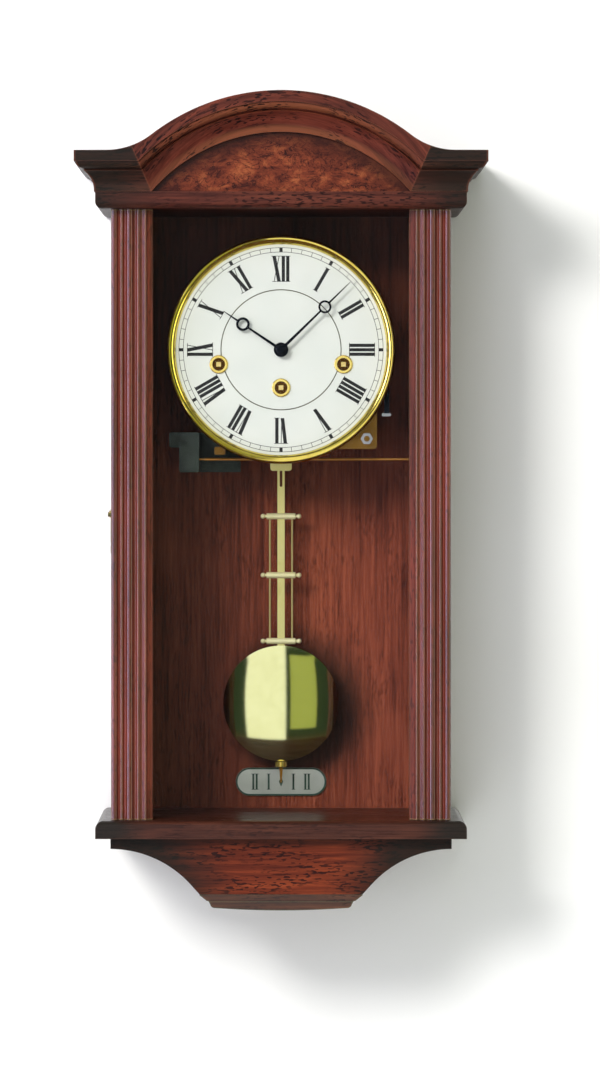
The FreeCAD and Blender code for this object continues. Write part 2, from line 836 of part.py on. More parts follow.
def stile(side):
    """A stile; side is +1 for the right one, which carries the pivots, and -1 for the left."""
    z0 = floor_z + door_end_gap
    z1 = ceiling_z - door_end_gap

    def at(point):
        return V(side * (stile_outer_x - point[0]), door_front_y + point[1], z0)

    steps = stile_front()
    point = steps[0]
    edges = []
    for step in steps[1:]:
        if isinstance(step[0], tuple):
            mid, end = step
            edges.append(Part.Arc(at(point), at(mid), at(end)).toShape())
            point = end
        else:
            edges.append(Part.makeLine(at(point), at(step)))
            point = step
    corner = math.sqrt(0.5) * pivot_inset
    inner_back = (stile_w, door_t)
    round_start = (pivot_inset, door_t)
    round_mid = (pivot_inset - corner, door_t - pivot_inset + corner)
    round_end = (0.0, door_t - pivot_inset)
    edges.append(Part.makeLine(at(point), at(inner_back)))
    edges.append(Part.makeLine(at(inner_back), at(round_start)))
    edges.append(Part.Arc(at(round_start), at(round_mid), at(round_end)).toShape())
    edges.append(Part.makeLine(at(round_end), at(steps[0])))
    solid = Part.Face(Part.Wire(edges)).extrude(V(0, 0, z1 - z0))
    groove_x = stile_outer_x - stile_w
    reach = glass_inlay + glass_clearance
    y0 = door_front_y + glass_depth - glass_clearance
    groove = box(groove_x - 1, groove_x + reach, y0, y0 + glass_t + 2 * glass_clearance,
                 z0 - 1, z1 + 1)
    return solid.cut(groove if side > 0 else mirrored(groove))


def door_stile_right():
    solid = stile(1)
    z0 = floor_z + door_end_gap
    z1 = ceiling_z - door_end_gap
    holes = [rod_z_axis(pivot_x, pivot_y, pivot_r, z0 - 1, z0 + pivot_len),
             rod_z_axis(pivot_x, pivot_y, pivot_r, z1 - pivot_len, z1 + 1)]
    return solid.cut(holes)


def door_stile_left():
    solid = stile(-1)
    return solid.cut(rod_x(stud_y, latch_z, stud_r, -stile_outer_x - 1, -stile_outer_x + 8))


def door_glass():
    x = stile_outer_x - stile_w + glass_inlay
    y = door_front_y + glass_depth
    return box(-x, x, y, y + glass_t, floor_z + door_end_gap, ceiling_z - door_end_gap)


def door_pivot_pins():
    low = rod_z_axis(pivot_x, pivot_y, pivot_r, floor_z - pivot_len + 0.5,
                     floor_z + door_end_gap + pivot_len)
    high = rod_z_axis(pivot_x, pivot_y, pivot_r, ceiling_z - door_end_gap - pivot_len,
                      ceiling_z + pivot_len - 0.5)
    return Part.makeCompound([low, high])


def latch_stud():
    neck_x = latch_plate_x + latch_plate_t + latch_clearance
    shank = rod_x(stud_y, latch_z, stud_r, -neck_x, -stile_outer_x + 8)
    head = rod_x(stud_y, latch_z, stud_head_r, -neck_x - 0.8, -neck_x)
    return fuse(shank, head)


def latch_screw():
    plate_x = latch_plate_x + latch_plate_t + 0.1
    shank = rod_x(latch_y, latch_z, latch_screw_r, -plate_x, -side_outer_x + side_t)
    spacer = rod_x(latch_y, latch_z, latch_head_r, -latch_plate_x + 0.1, -side_outer_x)
    head = rod_x(latch_y, latch_z, latch_head_r, -plate_x - 0.8, -plate_x)
    slot = box(-plate_x - 1.5, -plate_x - 0.5, latch_y - 3, latch_y + 3,
               latch_z - 0.3, latch_z + 0.3)
    return fuse(shank, spacer, head).cut(slot)


def latch_hook():
    """The hook hangs down from its screw; its notch opens to the front."""
    x0 = -latch_plate_x - latch_plate_t
    x1 = -latch_plate_x
    half = latch_plate_w / 2
    end_z = latch_z - latch_reach
    eye = rod_x(latch_y, latch_z, latch_screw_r + 1.7, x0, x1)
    bar = box(x0, x1, latch_y - half, latch_y + half, end_z - half, latch_z)
    grip = rod_x(latch_y + half, end_z - half - 1, 3.0, x0, x1)
    solid = fuse(eye, bar, grip)
    reach = stud_r + latch_clearance
    notch = box(x0 - 1, x1 + 1, latch_y - half - 2, latch_y, end_z - reach, end_z + reach)
    seat = rod_x(latch_y, end_z, reach, x0 - 1, x1 + 1)
    hole = rod_x(latch_y, latch_z, latch_screw_r + pivot_clearance, x0 - 1, x1 + 1)
    return solid.cut([notch, seat, hole])


# ---------------------------------------------------------------- dial
def winding_places():
    return [time_at, strike_at, chime_at]


def dial_foot_places():
    return [(x, dial_z + z) for x in (-dial_foot_x, dial_foot_x) for z in (-dial_foot_z, dial_foot_z)]


def dial_plate():
    solid = rod_y(0, dial_z, dial_r, dial_front_y, dial_back_y)
    cuts = [rod_y(0, dial_z, dial_centre_hole_r, dial_front_y - 1, dial_back_y + 1)]
    hole_r = grommet_hole_r + grommet_wall
    for x, z in winding_places():
        cuts.append(rod_y(x, z, hole_r, dial_front_y - 1, dial_back_y + 1))
    feet = []
    for x, z in dial_foot_places():
        feet.append(rod_y(x, z, dial_foot_r, dial_back_y, front_plate_y))
    return fuse(solid.cut(cuts), *feet)


def dial_bezel():
    crest_y = dial_front_y - bezel_h
    crest_r = bezel_r - bezel_crest_in
    seat_r = dial_r + bezel_clearance
    slope = math.sqrt(0.5)
    inner_mid = V(crest_r - (crest_r - bezel_lip_r) * slope, crest_y + bezel_round_h * (1 - slope), 0)
    outer_mid = V(crest_r + bezel_crest_in * slope, crest_y + bezel_shoulder_h * (1 - slope), 0)
    crest_point = V(crest_r, crest_y, 0)
    lip = V(bezel_lip_r, crest_y + bezel_round_h, 0)
    shoulder = V(bezel_r, crest_y + bezel_shoulder_h, 0)
    points = [shoulder, V(bezel_r, dial_back_y, 0), V(seat_r, dial_back_y, 0),
              V(seat_r, dial_front_y - bezel_clearance, 0),
              V(bezel_lip_r, dial_front_y - bezel_clearance, 0), lip]
    edges = [Part.makeLine(a, b) for a, b in zip(points, points[1:])]
    edges.append(Part.Arc(lip, inner_mid, crest_point).toShape())
    edges.append(Part.Arc(crest_point, outer_mid, shoulder).toShape())
    ring = Part.Face(Part.Wire(edges)).revolve(V(0, 0, 0), V(0, 1, 0), 360)
    ring.translate(V(0, 0, dial_z))
    return ring


def winding_grommets():
    grommets = []
    for x, z in winding_places():
        flange = rod_y(x, z, grommet_r, dial_front_y - grommet_flange_t, dial_front_y)
        rim = [e for e in flange.Edges if abs(e.CenterOfMass.y - flange.BoundBox.YMin) < 0.01]
        flange = flange.makeFillet(grommet_flange_t * 0.6, rim)
        tube = rod_y(x, z, grommet_hole_r + grommet_wall, dial_front_y, dial_back_y + 1)
        hole = rod_y(x, z, grommet_hole_r, dial_front_y - 5, dial_back_y + 5)
        grommets.append(fuse(flange, tube).cut(hole))
    return Part.makeCompound(grommets)


# ---------------------------------------------------------------- hands
hour_hand_y = dial_front_y - 3.4
minute_hand_y = hour_hand_y - hand_t - hand_gap
minute_angle = shown_minutes * 6
hour_angle = (shown_hours + shown_minutes / 60) * 30


def hand(y, tip, ring_at, ring_r, ring_hole_r, hub_r, hole_r):
    """An open-ring hand that points up from the dial centre."""
    half = hand_stem_w / 2
    z = dial_z
    stem = plate(outline((-half * 1.25, z), (-half * 0.75, z + ring_at - ring_r + 0.6),
                         (half * 0.75, z + ring_at - ring_r + 0.6), (half * 1.25, z)), y, y + hand_t)
    point = plate(outline((-half * 0.8, z + ring_at + ring_r - 0.6), (-0.18, z + tip), (0.18, z + tip),
                          (half * 0.8, z + ring_at + ring_r - 0.6)), y, y + hand_t)
    ring = rod_y(0, z + ring_at, ring_r, y, y + hand_t)
    hub = rod_y(0, z, hub_r, y, y + hand_t)
    solid = fuse(stem, point, ring, hub)
    return solid.cut([rod_y(0, z + ring_at, ring_hole_r, y - 1, y + 2),
                      rod_y(0, z, hole_r, y - 1, y + 2)])


def minute_hand():
    solid = hand(minute_hand_y, minute_tip, minute_ring, minute_ring_r, minute_ring_hole_r,
                 hand_hub_r - 0.6, cannon_r)
    return turned(solid, minute_angle, 0, dial_z)


def hour_hand():
    solid = hand(hour_hand_y, hour_tip, hour_ring, hour_ring_r, hour_ring_hole_r,
                 hand_hub_r, hour_tube_r)
    return turned(solid, hour_angle, 0, dial_z)


def hand_nut():
    y = minute_hand_y
    nut = rod_y(0, dial_z, hand_nut_r, y - hand_nut_h, y)
    rim = [e for e in nut.Edges if abs(e.CenterOfMass.y - nut.BoundBox.YMin) < 0.01]
    nut = nut.makeFillet(0.8, rim)
    return nut.cut(rod_y(0, dial_z, arbor_r + pivot_play, y - 1, y + 1))


def cannon_pinion():
    """The tube that carries the minute hand, a friction fit on the centre arbor."""
    tube = rod_y(0, dial_z, cannon_r, minute_hand_y, front_plate_y - 0.3)
    leaves = gear(0, dial_z, cannon_leaves, cannon_module, cannon_phase, leaf_tooth,
                  motion_low, motion_low + wheel_t)
    bore = rod_y(0, dial_z, arbor_r + pivot_play, minute_hand_y - 1, front_plate_y)
    return fuse(tube, leaves).cut(bore)


def hour_wheel():
    tube = rod_y(0, dial_z, hour_tube_r, hour_hand_y, motion_high + wheel_t + 0.8)
    teeth = gear(0, dial_z, hour_teeth, hour_module, hour_phase, wheel_tooth,
                 motion_high, motion_high + wheel_t)
    bore = rod_y(0, dial_z, cannon_r + pivot_play, hour_hand_y - 1, front_plate_y)
    return fuse(tube, teeth).cut(bore)


def minute_wheel():
    x, z = minute_at
    leaves = gear(x, z, minute_leaves, hour_module, minute_phase, leaf_tooth,
                  motion_high, motion_low)
    body = wheel(x, z, minute_teeth, cannon_module, minute_wheel_phase, motion_low,
                 motion_low + wheel_t, pitch_r(minute_leaves, hour_module) + 1)
    bore = rod_y(x, z, arbor_r + pivot_play, motion_high - 1, front_plate_y)
    return fuse(body, leaves).cut(bore)


# ---------------------------------------------------------------- movement plates
def plate_outline():
    x = plate_half_w
    top = dial_z + plate_top
    low = dial_z + plate_bottom
    notch = dial_z + notch_z
    return outline((-x, top), (x, top), (x, low), (notch_x, low), (notch_x, notch), (-x, notch))


def pivot_places():
    """Arbors that run in both plates, with the radius of each."""
    places = [(second_at, arbor_r), (third_at, fine_arbor_r), (escape_at, fine_arbor_r),
              (drum_at, arbor_r), ((0.0, dial_z), arbor_r), ((0.0, verge_abs_z), arbor_r)]
    places += [(at, winding_r) for at in winding_places()]
    return places


def pillar_places():
    top = dial_z + plate_top - 7
    low = dial_z + plate_bottom + 7
    return [(-plate_half_w + 7, top), (plate_half_w - 7, top), (plate_half_w - 7, low),
            (notch_x + 7, dial_z + notch_z - 7), (-plate_half_w + 7, dial_z + notch_z + 7)]


def movement_plate(y0, y1):
    solid = plate(plate_outline(), y0, y1)
    corners = []
    for edge in solid.Edges:
        if abs(edge.tangentAt(edge.FirstParameter).y) > 0.9:
            corners.append(edge)
    solid = solid.makeFillet(plate_corner_r, corners)
    cuts = []
    for (x, z), r in pivot_places():
        cuts.append(rod_y(x, z, r + pivot_play, y0 - 1, y1 + 1))
    for x, z in pillar_places():
        cuts.append(rod_y(x, z, pillar_screw_r, y0 - 1, y1 + 1))
    return solid.cut(cuts)


def front_plate():
    """The front plate, with the stud of the minute wheel and the pin of the silence lever."""
    solid = movement_plate(front_plate_y, front_plate_back_y)
    x, z = minute_at
    stud = rod_y(x, z, arbor_r, motion_high - 0.4, front_plate_y + 0.5)
    pin = rod_y(silence_x, dial_z + silence_z, arbor_r, front_plate_y - 3, front_plate_y + 0.5)
    return fuse(solid, stud, pin)


def back_plate():
    return movement_plate(back_plate_y, plate_back_y)


def movement_pillars():
    """Pillars between the plates, and the posts that carry the movement on the back panel."""
    pillars = [rod_y(x, z, post_r, plate_back_y, back_front_y) for x, z in post_places()]
    for x, z in pillar_places():
        body = rod_y(x, z, pillar_r, front_plate_back_y, back_plate_y)
        stud = rod_y(x, z, pillar_screw_r, front_plate_y - nut_h - 1, plate_back_y)
        pillars.append(fuse(body, stud))
    return Part.makeCompound(pillars)


def pillar_nuts():
    nuts = []
    for x, z in pillar_places():
        nut = hexagon(x, z, nut_r, front_plate_y - nut_h, front_plate_y)
        nuts.append(nut.cut(rod_y(x, z, pillar_screw_r, front_plate_y - 9, front_plate_y + 1)))
    return Part.makeCompound(nuts)


def post_places():
    return [(x, z) for x, z in pillar_places() if abs(x) > plate_half_w - 8]


def suspension_cock():
    """The bracket that holds the suspension spring and the rear end of the pallet arbor."""
    top = verge_abs_z + 10
    y1 = pendulum_y + 4
    foot = box(-14, 14, plate_back_y, plate_back_y + 1.6, verge_abs_z - 6, top)
    arm = box(-6, 6, plate_back_y, y1, top - 4, top)
    hole = rod_y(0, verge_abs_z, arbor_r + 1, plate_back_y - 1, plate_back_y + 3)
    slot = box(-suspension_w / 2, suspension_w / 2, pendulum_y, pendulum_y + suspension_t,
               top - 5, verge_abs_z + suspension_up)
    return fuse(foot, arm).cut([hole, slot])


# ---------------------------------------------------------------- going train
def barrel(place, phase):
    """A mainspring barrel with its great wheel."""
    x, z = place
    y0 = great_layer + wheel_t + 0.8
    y1 = y0 + barrel_len
    drum = rod_y(x, z, barrel_r, great_layer + wheel_t, y1)
    lid = rod_y(x, z, barrel_r + 0.6, y1 - 1.6, y1)
    hollow = rod_y(x, z, barrel_r - barrel_wall, y0 + 1, y1 - barrel_wall - 1)
    ring = gear(x, z, great_teeth, great_module, phase, wheel_tooth, great_layer,
                great_layer + wheel_t)
    solid = fuse(drum, lid, ring).cut(hollow)
    return solid.cut(rod_y(x, z, winding_r + pivot_play, great_layer - 1, y1 + 1))


def time_barrel():
    return barrel(time_at, great_phase)


def strike_barrel():
    return barrel(strike_at, great_phase)


def chime_barrel():
    return barrel(chime_at, great_phase)


def winding_arbor(place):
    """The arbor that the key turns, with its ratchet in front of the plate and a square end."""
    x, z = place
    body = rod_y(x, z, winding_r, front_plate_y - 4.5, plate_back_y)
    half = winding_square / 2
    square = box(x - half, x + half, dial_front_y - 2.4, front_plate_y - 4, z - half, z + half)
    tip_r = ratchet_r
    points = []
    step = 360.0 / ratchet_teeth
    for i in range(ratchet_teeth):
        points.append(polar(x, z, tip_r, i * step))
        points.append(polar(x, z, tip_r - 1.4, i * step + step * 0.12))
    ratchet = plate(outline(*points), front_plate_y - 2.6, front_plate_y - 0.8)
    return fuse(body, square, ratchet)


def time_winding_arbor():
    return winding_arbor(time_at)


def strike_winding_arbor():
    return winding_arbor(strike_at)


def chime_winding_arbor():
    return winding_arbor(chime_at)


def second_wheel():
    x, z = second_at
    leaves = gear(x, z, second_leaves, great_module, second_pinion_phase, leaf_tooth,
                  great_layer - 0.6, great_layer + wheel_t + 0.6)
    body = wheel(x, z, second_teeth, second_module, second_phase, second_layer,
                 second_layer + wheel_t)
    return fuse(arbor(x, z), leaves, body)


def centre_wheel():
    """The wheel that turns once an hour; its arbor runs out through the hands."""
    leaves = gear(0, dial_z, centre_leaves, second_module, centre_pinion_phase, leaf_tooth,
                  second_layer - 0.6, second_layer + wheel_t + 0.6)
    body = wheel(0, dial_z, centre_teeth, centre_module, centre_phase, centre_layer,
                 centre_layer + wheel_t)
    shaft = rod_y(0, dial_z, arbor_r, minute_hand_y - hand_nut_h * 0.4, plate_back_y)
    return fuse(shaft, leaves, body)


def third_wheel():
    x, z = third_at
    leaves = gear(x, z, third_leaves, centre_module, third_pinion_phase, leaf_tooth,
                  centre_layer - 0.5, centre_layer + wheel_t + 0.5)
    body = wheel(x, z, third_teeth, third_module, third_phase, third_layer,
                 third_layer + wheel_t)
    return fuse(arbor(x, z, fine_arbor_r), leaves, body)


def escape_wheel():
    x, z = escape_at
    leaves = gear(x, z, escape_leaves, third_module, escape_pinion_phase, leaf_tooth,
                  third_layer - 0.5, third_layer + wheel_t + 0.5)
    step = 360.0 / escape_teeth
    points = []
    for i in range(escape_teeth):
        points.append(polar(x, z, escape_r, i * step))
        points.append(polar(x, z, escape_r - 1.5, (i + 0.3) * step))
        points.append(polar(x, z, escape_r - 1.5, (i + 0.8) * step))
    ring = plate(outline(*points), escape_layer, escape_layer + wheel_t)
    ring = crossed(ring, x, z, escape_r - 2.6, 3.0, escape_layer, escape_layer + wheel_t)
    return fuse(arbor(x, z, fine_arbor_r), leaves, ring)


# ---------------------------------------------------------------- escapement and pendulum
def verge():
    """The pallets between the plates, and the crutch that reaches down behind them."""
    z = verge_abs_z
    back = pendulum_y + 2.4
    shaft = rod_y(0, z, arbor_r, front_plate_y, plate_back_y + 4.4)
    y0 = escape_layer - 0.4
    y1 = escape_layer + wheel_t + 0.4
    reach = pallet_arm
    drop = verge_abs_z - escape_at[1]
    tip_z = z - drop + 2.0
    pallet_x = escape_r + pallet_clearance
    arms = outline((-pallet_x - 1.6, tip_z), (-pallet_x, tip_z), (-pallet_x + 0.9, z - 3.2),
                   ((0, z - 1.8), (pallet_x - 0.9, z - 3.2)), (pallet_x, tip_z),
                   (pallet_x + 1.6, tip_z), (reach - 0.6, z - 1.2), ((0, z + 2.6), (-reach + 0.6, z - 1.2)))
    anchor = plate(arms, y0, y1)
    end = dial_z + crutch_end_z
    stem_y = plate_back_y + 3.4
    stem = rod_z_axis(0, stem_y, 1.0, end + 1, z)
    fork = rounded_plate(-crutch_w / 2, crutch_w / 2, end - crutch_t / 2, end + crutch_t / 2, 2,
                         stem_y - 1, back)
    half = strip_w / 2 + crutch_clearance
    gap = box(-half, half, pendulum_y - crutch_clearance, back + 1, end - 5, end + 5)
    return fuse(shaft, anchor, stem, fork.cut(gap))


def suspension_spring():
    """The ribbon that bends at the pendulum axis; its upper end sits in the cock."""
    return box(-suspension_w / 2, suspension_w / 2, pendulum_y, pendulum_y + suspension_t,
               verge_abs_z - suspension_down, verge_abs_z + suspension_up)


def pendulum_rod():
    """The leader under the spring, the flat strip with its slot, and the threaded lower end."""
    y0 = pendulum_y
    y1 = y0 + strip_t
    room_x = suspension_w / 2 + clamp_play
    clamp_x = room_x + clamp_wall
    clamp_z1 = verge_abs_z - suspension_down + clamp_grip
    clamp_z0 = clamp_z1 - clamp_len
    clamp = box(-clamp_x, clamp_x, y0 - clamp_front, y1 + clamp_front, clamp_z0, clamp_z1)
    room = box(-room_x, room_x, y0 - suspension_t, y0 + 2 * suspension_t,
               clamp_z1 - 2 * clamp_grip, clamp_z1 + 1)
    strip_z1 = dial_z + strip_top_z
    bob_low = dial_z + bob_z - bob_r
    tip_z = bob_low - rating_gap - rating_nut_h - 1
    leader = box(-leader_w / 2, leader_w / 2, y0, y1, strip_z1, clamp_z0)
    strip = box(-strip_w / 2, strip_w / 2, y0, y1, bob_low, strip_z1)
    thread = rod_z_axis(0, (y0 + y1) / 2, thread_r, tip_z, bob_low + thread_lap)
    point = plate(outline((-pointer_w / 2, tip_z), (-pointer_tip_w / 2, tip_z - pointer_len),
                          (pointer_tip_w / 2, tip_z - pointer_len), (pointer_w / 2, tip_z)),
                  y0, y1)
    r = slot_w / 2
    slot_z0 = dial_z + slot_bottom_z + r
    slot_z1 = dial_z + slot_top_z - r
    slot = [box(-r, r, y0 - 1, y1 + 1, slot_z0, slot_z1)]
    for z in (slot_z0, slot_z1):
        slot.append(rod_y(0, z, r, y0 - 1, y1 + 1))
    return fuse(leader, clamp, strip, thread, point).cut([room] + slot)


def pendulum_frame():
    """Three crossbars with ball ends and the two thin rods that join them."""
    y0 = pendulum_y
    bar_y = y0 + strip_t / 2
    strip = box(-strip_w / 2, strip_w / 2, y0, y0 + strip_t, dial_z - 400, dial_z)
    pieces = []
    half = crossbar_len / 2
    ball_x = half + finial_neck + finial_r
    for level in crossbar_zs:
        z = dial_z + level
        bar = rod_x(bar_y, z, crossbar_r, -half, half)
        pieces.append(bar.makeFillet(crossbar_round_r, [bar.Edges[0], bar.Edges[2]]))
        pieces.append(rod_x(bar_y, z, finial_r * 0.6, -ball_x, ball_x))
        for side in (-1, 1):
            pieces.append(Part.makeSphere(finial_r, V(side * ball_x, bar_y, z)))
    low = dial_z + crossbar_zs[-1]
    high = dial_z + crossbar_zs[0]
    for side in (-1, 1):
        pieces.append(rod_z_axis(side * side_rod_x, bar_y, side_rod_r, low, high))
    return fuse(pieces[0], *pieces[1:]).cut(strip)


def pendulum_bob():
    """A brass lens that hangs in front of the strip and is notched behind for it."""
    z = dial_z + bob_z
    rim_y = pendulum_y - bob_ahead
    front = V(0, rim_y - bob_rim / 2 - bob_front_sag, 0)
    back = V(0, rim_y + bob_rim / 2 + bob_back_sag, 0)
    rim_front = V(bob_r, rim_y - bob_rim / 2, 0)
    rim_back = V(bob_r, rim_y + bob_rim / 2, 0)
    edges = [Part.Arc(front, sphere_mid(rim_front, front), rim_front).toShape(),
             Part.makeLine(rim_front, rim_back),
             Part.Arc(rim_back, sphere_mid(rim_back, back), back).toShape(),
             Part.makeLine(back, front)]
    lens = Part.Face(Part.Wire(edges)).revolve(V(0, 0, 0), V(0, 1, 0), 360)
    lens.translate(V(0, 0, z))
    low = z - bob_r - 1
    half = strip_w / 2 + bob_play
    channel = box(-half, half, pendulum_y - bob_play, back.y + 1, low, z + bob_r + 1)
    bore = rod_z_axis(0, pendulum_y + strip_t / 2, thread_r + bob_play, low, z - bob_r + thread_lap + 1)
    return lens.cut([channel, bore])


def sphere_mid(rim, pole):
    """The point halfway along the arc of a spherical cap, in a half section."""
    sag = abs(pole.y - rim.y)
    r = (rim.x ** 2 + sag ** 2) / (2 * sag)
    centre_y = pole.y + math.copysign(r, rim.y - pole.y)
    half = math.asin(rim.x / r) / 2
    return V(r * math.sin(half), centre_y - math.copysign(r * math.cos(half), rim.y - pole.y), 0)


def rating_nut():
    bob_low = dial_z + bob_z - bob_r
    y = pendulum_y + strip_t / 2
    z1 = bob_low - rating_gap
    nut = rod_z_axis(0, y, rating_nut_r, z1 - rating_nut_h, z1)
    nut = nut.makeFillet(knurl_r, [nut.Edges[0], nut.Edges[2]])
    cuts = [rod_z_axis(0, y, thread_r, z1 - rating_nut_h - 1, z1 + 1)]
    for i in range(knurl_count):
        a = math.radians(360 / knurl_count * i)
        cuts.append(rod_z_axis(rating_nut_r * math.cos(a), y + rating_nut_r * math.sin(a),
                               knurl_r, z1 - rating_nut_h - 1, z1 + 1))
    return nut.cut(cuts)


# ---------------------------------------------------------------- gong, hammers and chime
rod_first_y = front_plate_back_y + gong_front_gap + 4.0


def rod_y_at(i):
    return rod_first_y + i * rod_pitch


def gong_block():
    """An iron casting: a thick part that holds the rods, and a foot on the back panel."""
    y0 = front_plate_back_y + gong_front_gap
    y1 = plate_back_y + gong_foot_gap
    z0 = dial_z + gong_bottom
    z1 = dial_z + gong_top
    tab_x = gong_left + gong_tab_w
    thick = rounded_plate(tab_x, gong_face_x, z0, z1, gong_corner_r, y0, back_front_y)
    tab = rounded_plate(gong_left, tab_x + 3, z1 - gong_tab_h, z1, gong_corner_r, y0, back_front_y)
    foot = box(gong_face_x - 1, gong_right, y1, back_front_y, z0, z1)
    holes = []
    for i in range(rod_count):
        holes.append(rod_x(rod_y_at(i), dial_z + rod_z, rod_root_r,
                           gong_face_x - rod_seat, gong_face_x + 1))
    return fuse(thick, tab, foot).cut(holes)


def gong_rods():
    """Chime rods, each with a thin root in the block."""
    rods = []
    z = dial_z + rod_z
    for i in range(rod_count):
        y = rod_y_at(i)
        start = gong_face_x + rod_root_len + i * rod_root_step
        root = rod_x(y, z, rod_root_r, gong_face_x - rod_seat, start)
        rods.append(fuse(root, rod_x(y, z, rod_r, start, rod_end_x - i * rod_step)))
    return Part.makeCompound(rods)


def hammer_shaft():
    return rod_y(hammer_pivot_x, dial_z + hammer_pivot_z, arbor_r,
                 front_plate_back_y, back_plate_y)


def hammer(i):
    """A chime hammer: eye, arm and head on the left, and a lifting tail towards the drum."""
    y = rod_y_at(i)
    half = hammer_arm_t / 2
    pivot = (hammer_pivot_x, dial_z + hammer_pivot_z)
    head_low = dial_z + rod_z + rod_r + hammer_rod_gap
    head_high = head_low + hammer_head_h
    eye = rod_y(*pivot, hammer_eye_r, y - half, y + half)
    arm = plate(outline((pivot[0], pivot[1] - 1.4), (hammer_head_x, head_high - 0.6),
                        (hammer_head_x, head_high + 1.4), (pivot[0], pivot[1] + 1.4)),
                y - half, y + half)
    x0 = hammer_head_x - hammer_head_w / 2
    head = rounded_plate(x0, x0 + hammer_head_w, head_low, head_high, 1.0,
                         y - hammer_head_r, y + hammer_head_r)
    tip = polar(*drum_at, drum_r + drum_pin_h + tail_gap, direction(drum_at, pivot))
    tail = plate(outline((pivot[0], pivot[1] - 1.2), (pivot[0], pivot[1] + 1.2),
                         (tip[0], tip[1] + 1.0), (tip[0], tip[1] - 1.0)), y - half, y + half)
    bore = rod_y(*pivot, arbor_r + pivot_play, y - 5, y + 5)
    return fuse(eye, arm, head, tail).cut(bore)


def chime_drum():
    """The pinned barrel that lifts the hammers, turned by the chime great wheel."""
    x, z = drum_at
    core = rod_y(x, z, drum_r, rod_y_at(0) - 2.4, rod_y_at(rod_count - 1) + 2.4)
    ring = gear(x, z, drum_teeth, great_module, drum_phase, wheel_tooth, great_layer,
                great_layer + wheel_t)
    pieces = [arbor(x, z), core, ring]
    for i in range(rod_count):
        for k in range(4):
            degrees = 90 * k + 23 * i
            px, pz = polar(x, z, drum_r - 1, degrees)
            along = V(math.cos(math.radians(degrees)), 0, math.sin(math.radians(degrees)))
            pieces.append(Part.makeCylinder(drum_pin_r, drum_pin_h + 1, V(px, rod_y_at(i), pz),
                                            along))
    return fuse(pieces[0], *pieces[1:])


def silence_lever():
    """The lever beside the dial that silences the chime."""
    y1 = front_plate_y - 0.6
    y0 = y1 - 1.2
    x0 = silence_x
    z0 = dial_z + silence_z
    x1 = silence_edge_x
    low = dial_z + silence_low_z
    eye = rod_y(x0, z0, 3.4, y0, y1)
    half = silence_w / 2
    arm = plate(outline((x0, z0 - half), (x1 - silence_w, z0 - half), (x1 - silence_w, low),
                        (x1, low), (x1, z0 + half), (x0, z0 + half)), y0, y1)
    bore = rod_y(x0, z0, arbor_r + pivot_play, y0 - 1, y1 + 1)
    return fuse(eye, arm).cut(bore)


SUB_PARTS = {
    "back_panel": back_panel,
    "case_sides": case_sides,
    "top_board": top_board,
    "base_shelf": base_shelf,
    "arch_moulding": arch_moulding,
    "cornice_mouldings": cornice_mouldings,
    "arch_panel": arch_panel,
    "crown_board": crown_board,
    "console_front": console_front,
    "console_sides": console_sides,
    "console_cap": console_cap,
    "hanger_plate": hanger_plate,
    "case_screws": case_screws,
    "beat_plate": beat_plate,
    "door_stile_left": door_stile_left,
    "door_stile_right": door_stile_right,
    "door_glass": door_glass,
    "door_pivot_pins": door_pivot_pins,
    "latch_stud": latch_stud,
    "latch_hook": latch_hook,
    "dial_plate": dial_plate,
    "dial_bezel": dial_bezel,
    "winding_grommets": winding_grommets,
    "minute_hand": minute_hand,
    "hour_hand": hour_hand,
    "hand_nut": hand_nut,
    "cannon_pinion": cannon_pinion,
    "hour_wheel": hour_wheel,
    "minute_wheel": minute_wheel,
    "front_plate": front_plate,
    "back_plate": back_plate,
    "movement_pillars": movement_pillars,
    "pillar_nuts": pillar_nuts,
    "suspension_cock": suspension_cock,
    "time_barrel": time_barrel,
    "strike_barrel": strike_barrel,
    "chime_barrel": chime_barrel,
    "time_winding_arbor": time_winding_arbor,
    "strike_winding_arbor": strike_winding_arbor,
    "chime_winding_arbor": chime_winding_arbor,
    "second_wheel": second_wheel,
    "centre_wheel": centre_wheel,
    "third_wheel": third_wheel,
    "escape_wheel": escape_wheel,
    "verge": verge,
    "suspension_spring": suspension_spring,
    "pendulum_rod": pendulum_rod,
    "pendulum_frame": pendulum_frame,
    "pendulum_bob": pendulum_bob,
    "rating_nut": rating_nut,
    "gong_block": gong_block,
    "gong_rods": gong_rods,
    "hammer_shaft": hammer_shaft,
    "chime_drum": chime_drum,
    "silence_lever": silence_lever,
}
for number in range(rod_count):
    SUB_PARTS["chime_hammer_%d" % (number + 1)] = lambda i=number: hammer(i)


def main():
    os.makedirs("parts", exist_ok=True)
    for name, build in SUB_PARTS.items():
        shape = build()
        if len(shape.Solids) == 1:
            shape = shape.Solids[0]
        shape.exportStep("parts/%s.step" % name)
        print("%-22s %3d solids %5d faces %10.1f mm3 %s" % (
            name, len(shape.Solids), len(shape.Faces), shape.Volume, shape.isValid()))


if __name__ == "__main__":
    main()
